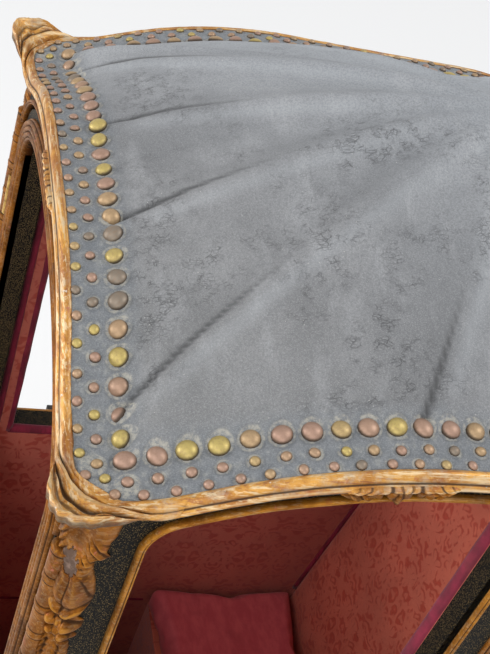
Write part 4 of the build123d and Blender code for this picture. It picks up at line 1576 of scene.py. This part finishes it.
# %% Carved ornament on the posts
# Each row: distance below the rim, half width, height over the post, in millimetres
POST_ROWS = (
    (20, 29, 4), (30, 31, 7), (45, 30, 7), (60, 27, 7), (70, 27, 8), (78, 30, 7), (85, 20, 8),
    (100, 20, 10), (115, 22, 12), (135, 24, 13), (155, 22, 12), (168, 19, 10), (175, 16, 6), (182, 22, 8),
    (192, 22, 9),
    (200, 15, 6), (208, 20, 9), (215, 14, 6), (228, 17, 8), (250, 18, 10), (275, 13, 8), (296, 7, 4),
    (306, 7, 6), (318, 7, 6), (332, 5, 4), (348, 1, 1),
)
CHAMFER_HALF = 17.0
ORNAMENT_TOP = 20.0
ORNAMENT_LOW = 348.0
POST_FRONT = 0.88


def front_and_back(place, front_share):
    """How far a closed relief has gone over its front, and whether it is still in front."""
    if place <= front_share:
        return place / front_share, True
    return 1 - (place - front_share) / (1 - front_share), False


def row_value(rows, place, column):
    """Soft reading of a table column."""
    for here, ahead in zip(rows, rows[1:]):
        if place <= ahead[0]:
            return here[column] + (ahead[column] - here[column]) * ease(place, here[0], ahead[0])
    return rows[-1][column]


def post_relief(side, down):
    """Height of the carving in mm, and its hollow value, at side (mm across) and down (mm below the rim):
    dirt in the cuts, and below 0 a painted highlight on raised parts.
    """
    half = row_value(POST_ROWS, down, 1)
    swell = row_value(POST_ROWS, down, 2)
    share = min(1.0, abs(side) / half)
    height = swell * math.sqrt(max(0.0, 1 - share ** 3))
    # cut is dirt where it is above 0, and where it is below 0 it paints a highlight on raised parts.
    cut = 0.0
    if down < 92:
        # A smooth hollow shield with a raised rim, and leaf tips below it
        inside = ease(92 - down, 0, 22)
        height += inside * (-4.5 * hill(side, 0, 13) + 2.6 * hill(share, 0.86, 0.13))
        cut += 0.45 * inside * hill(side, 0, 9)
        tips = ease(down, 46, 66) * ease(share, 0.25, 0.6)
        vein = math.cos((abs(side) * 0.9 - down * 0.55) * 0.9)
        height += 1.7 * tips * vein
        cut += 0.8 * tips * ease(-vein, 0.1, 0.9) - 0.6 * tips * ease(vein, 0.6, 1.0)
    if 80 < down < 116:
        # A rubbed patch where the leaves break up
        patch = hill(down, 98, 12)
        lumps = noise.noise(Vector((side * 0.16, down * 0.16, 3.1)))
        height += 3.4 * patch * lumps
        cut += 0.8 * patch * ease(-lumps, 0.0, 0.5) - 0.9 * patch * ease(lumps, 0.1, 0.5)
    worn_away = hill(down, 97, 17) * hill(side, -2, 12)
    if worn_away + 0.35 * noise.noise(Vector((side * 0.3, down * 0.3, 5))) > 0.5:
        return height - 1.0, 2.0
    if 100 < down < 182:
        # Acanthus: veins that spread downward and close round a curled tip
        grown = ease(down, 102, 116) * (1 - ease(down, 172, 181))
        angle = math.atan2(side, down - 84 + 12)
        vein = abs(math.sin(angle * 9.5))
        height += grown * (2.4 * vein ** 0.6 - 1.2)
        cut += 0.9 * grown * ease(0.34 - vein, 0.0, 0.34) - 0.35 * grown * ease(vein, 0.8, 1.0)
        lip = down - (170 - 0.022 * side * side)
        height += 4.5 * hill(lip, 0, 4.2) * grown - 4.2 * hill(lip, -9, 4.5) * grown
        cut += 0.9 * hill(lip, -9.5, 4.0) - 0.9 * hill(lip, 0.5, 2.6)
        inner = hill(down, 146, 9) * hill(side, -2, 8)
        height += 2.6 * inner * grown
    for middle, across, radius, tall in ((190, 12.5, 9.0, 7.5), (190, -12.5, 9.0, 7.0), (188, 0, 6.5, 3.0),
                                         (209, 9.5, 6.0, 4.5), (209, -9.5, 6.0, 4.5)):
        far = math.hypot(side - across, down - middle) / radius
        height += tall * math.sqrt(max(0.0, 1 - far * far)) * 0.8
        cut += 0.7 * hill(far, 1.08, 0.14)
        cut -= 0.7 * hill(far, 0, 0.7)
    for line in (179, 200, 216):
        height -= 3.2 * hill(down, line + 0.012 * side * side, 2.4)
        cut += 0.8 * hill(down, line + 0.012 * side * side, 2.4)
    if 216 < down < 302:
        # A long oval leaf with a midrib
        grown = ease(down, 217, 228) * (1 - ease(down, 292, 302))
        rib = hill(side, 0, 1.8)
        vein = math.cos((down * 0.62 - abs(side) * 0.75))
        height += grown * (2.4 * rib + 1.1 * vein * ease(share, 0.1, 0.3) + 1.8 * hill(share, 0.80, 0.14)
                           - 2.2 * hill(share, 0.55, 0.16))
        cut += grown * 0.7 * (hill(share, 0.55, 0.14) + 0.6 * ease(-vein, 0.4, 1.0) * (1 - rib))
    if down > 300:
        height += 2.0 * hill(down, 312, 5) - 2.0 * hill(down, 301, 2)
        cut += 0.8 * hill(down, 301, 2.4)
    return height, min(1.0, cut)


def add_post_ornament(bm, sx, sy):
    """The carving on one cut-off post corner, as a closed relief."""
    outward = Vector((sx, sy, 0)).normalized()
    across = Vector((sx, -sy, 0)).normalized()
    middle = Vector((sx * (WALL_X - 12 * MM), sy * (WALL_Y - 12 * MM), 0))

    def where(u, v):
        down = ORNAMENT_TOP + v * (ORNAMENT_LOW - ORNAMENT_TOP)
        share, in_front = front_and_back(u, POST_FRONT)
        return (2 * share - 1) * row_value(POST_ROWS, down, 1), down, in_front

    def rule(u, v):
        side, down, in_front = where(u, v)
        if in_front:
            height = post_relief(side, down)[0]
            lift = max(-1.5, height) + noise.noise(Vector((side * 0.13, down * 0.13, 9 + sx))) * 0.7
        else:
            lift = -3.0
        round_post = ease(down, 84, 122)
        side = side * (1 - 0.15 * round_post) + 7.5 * round_post
        base = -max(0.0, abs(side) - CHAMFER_HALF) * 0.94
        height = Vector((0, 0, RIM_Z - down * MM))
        return middle + across * (side * MM) + outward * ((base + lift) * MM) + height

    def dirt(u, v):
        side, down, in_front = where(u, v)
        return post_relief(side, down)[1] if in_front else 1.0

    shaped_grid(bm, 64, 230, rule, dirt)


bm = new_bmesh()
for sx, sy in CORNERS:
    add_post_ornament(bm, sx, sy)
finish_piece("post_ornaments", bm, [CARVED_GILT], "chair")

# %% [markdown]
# The cartouches fill the gap between the cornice and the window head: two C-scrolls and
# leaves spread from a small shell, with a pointed drop below it.

# %% Cartouches
CARTOUCHE_Y = -0.187
CARTOUCHE_HALF = 62.0
CARTOUCHE_TOP = 25.0
CARTOUCHE_FRONT = 0.8
LEAVES_LOW = 17.8
# Each row: distance along, how far below the eaves line it ends, height over the wall, mm
CARTOUCHE_ROWS = (
    (-62, 26, 1), (-55, 30, 5), (-44, 34, 8), (-32, 35, 9), (-22, 33, 7), (-14, 33, 6), (-7, 38, 8),
    (0, 44, 9), (7, 38, 8), (14, 33, 6), (22, 33, 7), (32, 35, 9), (44, 34, 8), (55, 30, 5), (62, 26, 1),
)


def cartouche_relief(along, share):
    """Height and dirt at a distance along and a share of the way down."""
    swell = row_value(CARTOUCHE_ROWS, along, 2)
    height = swell * math.sqrt(max(0.0, 1 - (2 * share - 1) ** 4))
    side = abs(along)
    ribs = math.cos(math.atan2(along, 4 + 12 * share) * 9)
    shell = hill(side, 0, 11)
    leaf = hill(side, 38, 16)
    veins = math.cos((side - 38) * 0.55 + share * 5.5)
    scroll = hill(side, 20, 3.2)
    height += 1.4 * shell * ribs + 1.6 * leaf * veins + 2.6 * scroll - 2.8 * hill(side, 14.5, 2.2)
    height += 2.2 * hill(share, 0.9, 0.1) * leaf - 1.8 * hill(share, 0.55, 0.12) * leaf
    cut = 0.8 * shell * ease(-ribs, 0.1, 0.9) + 0.8 * leaf * ease(-veins, 0.3, 1.0) + hill(side, 14.5, 2.4)
    return height, min(1.0, cut)


def add_cartouche(bm, place, eave_height, centre):
    """One cartouche; place turns wall coordinates into the frame."""

    def rule(u, v):
        along = (2 * u - 1) * CARTOUCHE_HALF
        share, in_front = front_and_back(v, CARTOUCHE_FRONT)
        spot = centre + along * MM
        low = row_value(CARTOUCHE_ROWS, along, 1)
        down = CARTOUCHE_TOP + (low - CARTOUCHE_TOP) * share
        lift = 8.5 + 0.85 * cartouche_relief(along, share)[0] if in_front else 1.0
        return place(spot, lift * MM, RIM_Z + eave_height(spot) - down * MM)

    def dirt(u, v):
        share, in_front = front_and_back(v, CARTOUCHE_FRONT)
        return cartouche_relief((2 * u - 1) * CARTOUCHE_HALF, share)[1] if in_front else 1.0

    shaped_grid(bm, 110, 30, rule, dirt)


def add_cornice_leaves(bm, normal, half_across, centre):
    """The upper part of a cartouche, carved on the cornice itself so that it lifts with the roof."""
    sideways = Vector((-normal.y, normal.x, 0))

    def rule(u, v):
        along = (2 * u - 1) * CARTOUCHE_HALF
        share, in_front = front_and_back(v, CARTOUCHE_FRONT)
        taper = 1 - ease(abs(along), 46, 62)
        spot = normal * (half_across + CORNICE_IN) + sideways * (centre + along * MM)
        top = 10.5 + 3 * (1 - taper)
        down = top + (LEAVES_LOW - top) * share
        out = 9.5
        if in_front:
            out = 10.5 + (6.2 * math.sin(math.pi * (0.15 + 0.8 * share)) ** 0.7
                          + 0.35 * (cartouche_relief(along, 1 - share)[0] - 8)) * taper
        return Vector((spot.x, spot.y, cornice_line(spot.x, spot.y) - down * MM)) + normal * (out * MM)

    def dirt(u, v):
        share, in_front = front_and_back(v, CARTOUCHE_FRONT)
        return cartouche_relief((2 * u - 1) * CARTOUCHE_HALF, 1 - share)[1] if in_front else 1.0

    shaped_grid(bm, 110, 20, rule, dirt)


bm = new_bmesh()
add_cornice_leaves(bm, Vector((1, 0, 0)), HALF_W, CARTOUCHE_Y)
add_cornice_leaves(bm, Vector((-1, 0, 0)), HALF_W, -CARTOUCHE_Y)
add_cornice_leaves(bm, Vector((0, -1, 0)), HALF_D, 0.0)
finish_piece("cornice_leaves", bm, [EAVES_GILT], "roof")

for side, sign in (("left", 1), ("right", -1)):
    bm = new_bmesh()
    add_cartouche(bm, on_side(sign), lambda y: eave(SIDE_EAVE, y) - 3 * MM, CARTOUCHE_Y)
    piece = finish_piece("eaves_cartouche_" + side, bm, [CARVED_GILT], "chair")
    if sign == 1:
        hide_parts("side_cartouches")
bm = new_bmesh()
add_cartouche(bm, on_front, lambda x: eave(FRONT_EAVE, x) - 1 * MM, 0.0)
doorway_cartouche = finish_piece("doorway_cartouche", bm, [CARVED_GILT], "chair")
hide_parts("front_cartouche")

# %% [markdown]
# Inside, thin boards are padded and covered with damask. Each side lining is a grid whose
# one direction goes round the window and whose other runs from the window's edge to the
# edge of the board, so that the padding can swell a little between the two.

# %% Padded linings
LINING_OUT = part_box("side_lining_left")[1][0]
LINING_T = 14 * MM
CABIN_X = LINING_OUT - LINING_T
LINING_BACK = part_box("side_lining_left")[1][1]
LINING_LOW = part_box("side_lining_left")[0][2]
WINDOW_MIDDLE = Vector(((JAMB_FRONT + JAMB_REAR) / 2, 1.25))
LINING_RAYS = 168
HALVINGS = 20


def in_window(y, z):
    """Whether a place on the side wall lies inside the window opening."""
    inside = False
    for index, (y1, z1) in enumerate(window_outline):
        y0, z0 = window_outline[index - 1]
        if (z0 > z) != (z1 > z) and y < y0 + (y1 - y0) * (z - z0) / (z1 - z0):
            inside = not inside
    return inside


def in_lining(y, z):
    """Whether a place on the side wall lies inside the board's outer edge."""
    return abs(y) < LINING_BACK and LINING_LOW < z < RIM_Z + eave(SIDE_EAVE, y) - 50 * MM


def edge_from(inside, angle):
    """The last place inside along a ray from the window's middle."""
    direction = Vector((math.cos(angle), math.sin(angle)))
    near = 0.0
    far = 2.0
    for _ in range(HALVINGS):
        middle = (near + far) / 2
        if inside(*(WINDOW_MIDDLE + direction * middle)):
            near = middle
        else:
            far = middle
    return WINDOW_MIDDLE + direction * near


def lining_rays():
    """Inner and outer edge points of the lining along each ray."""
    corners = [(y, z) for y in (-LINING_BACK, LINING_BACK) for z in (LINING_LOW, RIM_Z - 50 * MM)]
    corners += [(JAMB_FRONT, SILL_Z), (JAMB_REAR, SILL_Z)]
    angles = [math.atan2(z - WINDOW_MIDDLE.y, y - WINDOW_MIDDLE.x) for y, z in corners]
    angles += [2 * math.pi * k / LINING_RAYS - math.pi for k in range(LINING_RAYS)]
    return [(edge_from(in_window, angle), edge_from(in_lining, angle)) for angle in sorted(angles)]


LINING_EDGES = lining_rays()
# Each row: share of the way outward and depth as a share of the board's thickness
LINING_SECTION = ((0.0, 1.0), (0.0, 0.35), (0.003, 0.12), (0.010, 0.02), (0.03, -0.03), (0.10, -0.12),
                  (0.25, -0.2), (0.45, -0.22), (0.65, -0.2), (0.82, -0.12), (0.94, -0.02), (0.98, 0.04),
                  (0.997, 0.2), (1.0, 0.5), (1.0, 1.0), (0.8, 1.0), (0.6, 1.0), (0.4, 1.0), (0.2, 1.0))


def add_lining(bm, sign):
    """One side lining: rows of the section give the share outward and the depth."""
    count = len(LINING_EDGES)
    rows = len(LINING_SECTION)

    def rule(u, v):
        inner, outer = LINING_EDGES[round(u * count) % count]
        share, depth = LINING_SECTION[round(v * rows) % rows]
        spot = inner.lerp(outer, share)
        fold = 0.0
        if depth < 0.1:
            fold = wobble(Vector((spot.x * 0.5, spot.y, sign * 2.0)), 9, 1.6 * MM)
            fold += wobble(Vector((spot.x, spot.y * 0.4, sign * 5.0)), 26, 0.7 * MM)
        x = CABIN_X + depth * LINING_T + fold
        return Vector((sign * min(x, LINING_OUT), spot.x, spot.y))

    shaped_grid(bm, count, rows, rule)


for side, sign in (("left", 1), ("right", -1)):
    bm = new_bmesh()
    add_lining(bm, sign)
    piece = finish_piece("padded_lining_" + side, bm, [SIDE_DAMASK], "chair", fill=False)
    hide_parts("side_lining_" + side)

# %% [markdown]
# The back rest leans like a chair back. Its stuffing swells towards the sitter, with the
# silk drawn in at the edges.

# %% Back rest
SEAT_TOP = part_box("seat_cushion")[1][2]
BACK_HALF = CABIN_X - 1.5 * MM
REST_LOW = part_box("back_rest")[0][2]
REST_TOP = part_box("back_rest")[1][2]
REST_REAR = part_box("back_rest")[1][1]
REST_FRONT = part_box("back_rest")[0][1]
REST_LEAN = 0.135
REST_SECTION = ((REST_FRONT, REST_LOW), (REST_REAR, REST_LOW), (REST_REAR, REST_TOP),
                (REST_FRONT + REST_LEAN * (REST_TOP - REST_LOW) - 6 * MM, REST_TOP))


def rest_front(z):
    """How far back the flat front of the rest stands at a height."""
    return REST_FRONT + REST_LEAN * (z - REST_LOW)


bm = new_bmesh()
rest_outline = finer(rounded(REST_SECTION, (0.004, 0.003, 0.003, 0.014)), 24 * MM)


def rest_rule(u, v):
    """A point of the back rest: u runs across the chair, v round its section."""
    count = len(rest_outline)
    y, z = rest_outline[round(v * count) % count]
    x = (2 * u - 1) * BACK_HALF
    facing = ease(rest_front(z) + 14 * MM - y, 0, 8 * MM)
    height = between(z, REST_LOW, REST_TOP)
    swell = (1 - (2 * u - 1) ** 6) * (1 - (2 * height - 1) ** 8)
    edge = 1 - ease(min(u, 1 - u) * 2 * BACK_HALF, 0, 9 * MM)
    fold = wobble(Vector((x, z * 0.45, 3.0)), 11, 2.2 * MM) + wobble(Vector((x * 0.6, z, 7.0)), 30, 0.8 * MM)
    y += facing * (-7 * MM * swell + fold * swell + 8 * MM * edge * edge)
    return Vector((x, min(y, REST_REAR), z))


shaped_grid(bm, 84, len(rest_outline), rest_rule)
back_padding = finish_piece("padded_back_rest", bm, [LIGHTENED_BACK_DAMASK], "chair")
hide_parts("back_rest")

# %% [markdown]
# The seat cushion is stuffed. Its shape is found by blowing up the plain block as cloth for
# a few moments, which rounds the faces and draws the edges in as a real cushion does.


# %% Seat cushion
def stuffed(source, name, detail, pressure, frames):
    """A copy of a solid, remeshed and blown up gently as cloth."""
    thing = bpy.data.objects.new(name, bpy.data.objects[source].data.copy())
    bpy.context.scene.collection.objects.link(thing)
    thing.matrix_world = bpy.data.objects[source].matrix_world
    remesh = thing.modifiers.new("even mesh", "REMESH")
    remesh.mode = "VOXEL"
    remesh.voxel_size = detail
    cloth = thing.modifiers.new("cloth", "CLOTH")
    cloth.settings.quality = 5
    cloth.settings.mass = 0.25
    cloth.settings.tension_stiffness = 35
    cloth.settings.compression_stiffness = 35
    cloth.settings.bending_stiffness = 0.8
    cloth.settings.use_pressure = True
    cloth.settings.uniform_pressure_force = pressure
    cloth.settings.effector_weights.gravity = 0
    scene = bpy.context.scene
    for moment in range(1, frames + 1):
        scene.frame_set(moment)
    shape = bpy.data.meshes.new_from_object(thing.evaluated_get(bpy.context.evaluated_depsgraph_get()))
    thing.modifiers.clear()
    thing.data = shape
    scene.frame_set(1)
    return thing


def build_cushion():
    """The velvet cushion, held to within a few millimetres of its block."""
    low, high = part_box("seat_cushion")
    cushion = stuffed("seat_cushion", "stuffed_cushion", 9 * MM, 3.0, 14)
    bm = bmesh.new()
    bm.from_mesh(cushion.data)
    for point in bm.verts:
        co = cushion.matrix_world @ point.co
        for axis, slack in ((0, 0.5 * MM), (1, 5 * MM), (2, 9 * MM)):
            floor_slack = 0.0 if axis == 2 else slack
            co[axis] = min(max(co[axis], low[axis] - floor_slack), high[axis] + slack)
        point.co = co
    bmesh.ops.recalc_face_normals(bm, faces=bm.faces)
    bm.to_mesh(cushion.data)
    bm.free()
    cushion.matrix_world = Matrix.Identity(4)
    cushion.data.materials.clear()
    cushion.data.materials.append(VELVET)
    cushion.data.shade_smooth()
    soft = cushion.modifiers.new("smooth", "SUBSURF")
    soft.levels = 1
    soft.render_levels = 1
    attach(cushion, "chair")
    return cushion


seat_velvet = build_cushion()
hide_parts("seat_cushion")
print("cushion has", len(seat_velvet.data.polygons), "faces")

# %% [markdown]
# Crimson velvet piping covers the seams: round each window's inner edge, down the corners of
# the cabin, beside the seat and along the top of the back rest. Each run is a thin roll of
# velvet, a little uneven. A roll has to close on itself, so its unevenness is read from the
# place of each point and not from its angle.

# %% Piping
PIPING_R = 5.5 * MM
WINDOW_PIPING_R = 8 * MM
WINDOW_PIPING_BACK = 5.5 * MM
SEAT_PIPING_R = 3 * MM


def add_roll(bm, points, radius, around=10, step=16 * MM):
    """A round roll along a chain of straight runs."""
    chain = [Vector(point) for point in points]
    path = []
    for here, ahead in zip(chain, chain[1:]):
        parts = max(1, round((ahead - here).length / step))
        path += [here.lerp(ahead, k / parts) for k in range(parts)]
    path.append(chain[-1])
    count = len(path) - 1

    def rule(u, v):
        index = round(u * count)
        along = path[min(index + 1, count)] - path[max(index - 1, 0)]
        helper = Vector((1, 0, 0)) if abs(along.normalized().x) < 0.8 else Vector((0, 0, 1))
        first = along.cross(helper).normalized()
        second = along.cross(first).normalized()
        angle = 2 * math.pi * v
        aside = first * math.cos(angle) + second * math.sin(angle)
        spread = radius * (1 + wobble(path[index] + aside * radius, 24, 0.12))
        return path[index] + aside * spread

    shaped_grid(bm, count, around, rule)


bm = new_bmesh()
for sign in SIDES:
    window_x = sign * (CABIN_X + WINDOW_PIPING_BACK)
    corner_x = sign * (CABIN_X - 3 * MM)
    add_roll(bm, [(window_x, y, z) for y, z in window_outline + window_outline[:1]], WINDOW_PIPING_R)
    ends = (SEAT_TOP, REST_TOP - 10 * MM)
    add_roll(bm, [(corner_x, rest_front(z) - 2 * MM, z) for z in ends], PIPING_R)
    ends = (LINING_LOW + 4 * MM, RIM_Z - 60 * MM)
    add_roll(bm, [(corner_x, -LINING_BACK + 4 * MM, z) for z in ends], PIPING_R)
    ends = (-LINING_BACK + 8 * MM, -44 * MM)
    add_roll(bm, [(corner_x, y, SEAT_TOP - 50 * MM) for y in ends], SEAT_PIPING_R)
ends = (-BACK_HALF + 4 * MM, BACK_HALF - 4 * MM)
add_roll(bm, [(x, rest_front(REST_TOP) + 1 * MM, REST_TOP) for x in ends], PIPING_R)
piping = finish_piece("velvet_piping", bm, [PIPING], "chair")

# %% [markdown]
# The plain solids that stay in sight get the soft edges of sanded and painted wood.

# %% Softened edges
SOFTENED = (
    ("base_frame", 2.0), ("feet", 1.2), ("pole_left", 4.0), ("pole_right", 4.0), ("seat_box", 3.0),
    ("pole_staples_left", 1.5), ("pole_staples_right", 1.5), ("door_knob", 0.8),
    ("side_panels_left", 1.0), ("side_panels_right", 1.0), ("back_panels", 1.0), ("door_panel", 1.0),
)
for name, width in SOFTENED:
    soften(bpy.data.objects[name], width * MM)
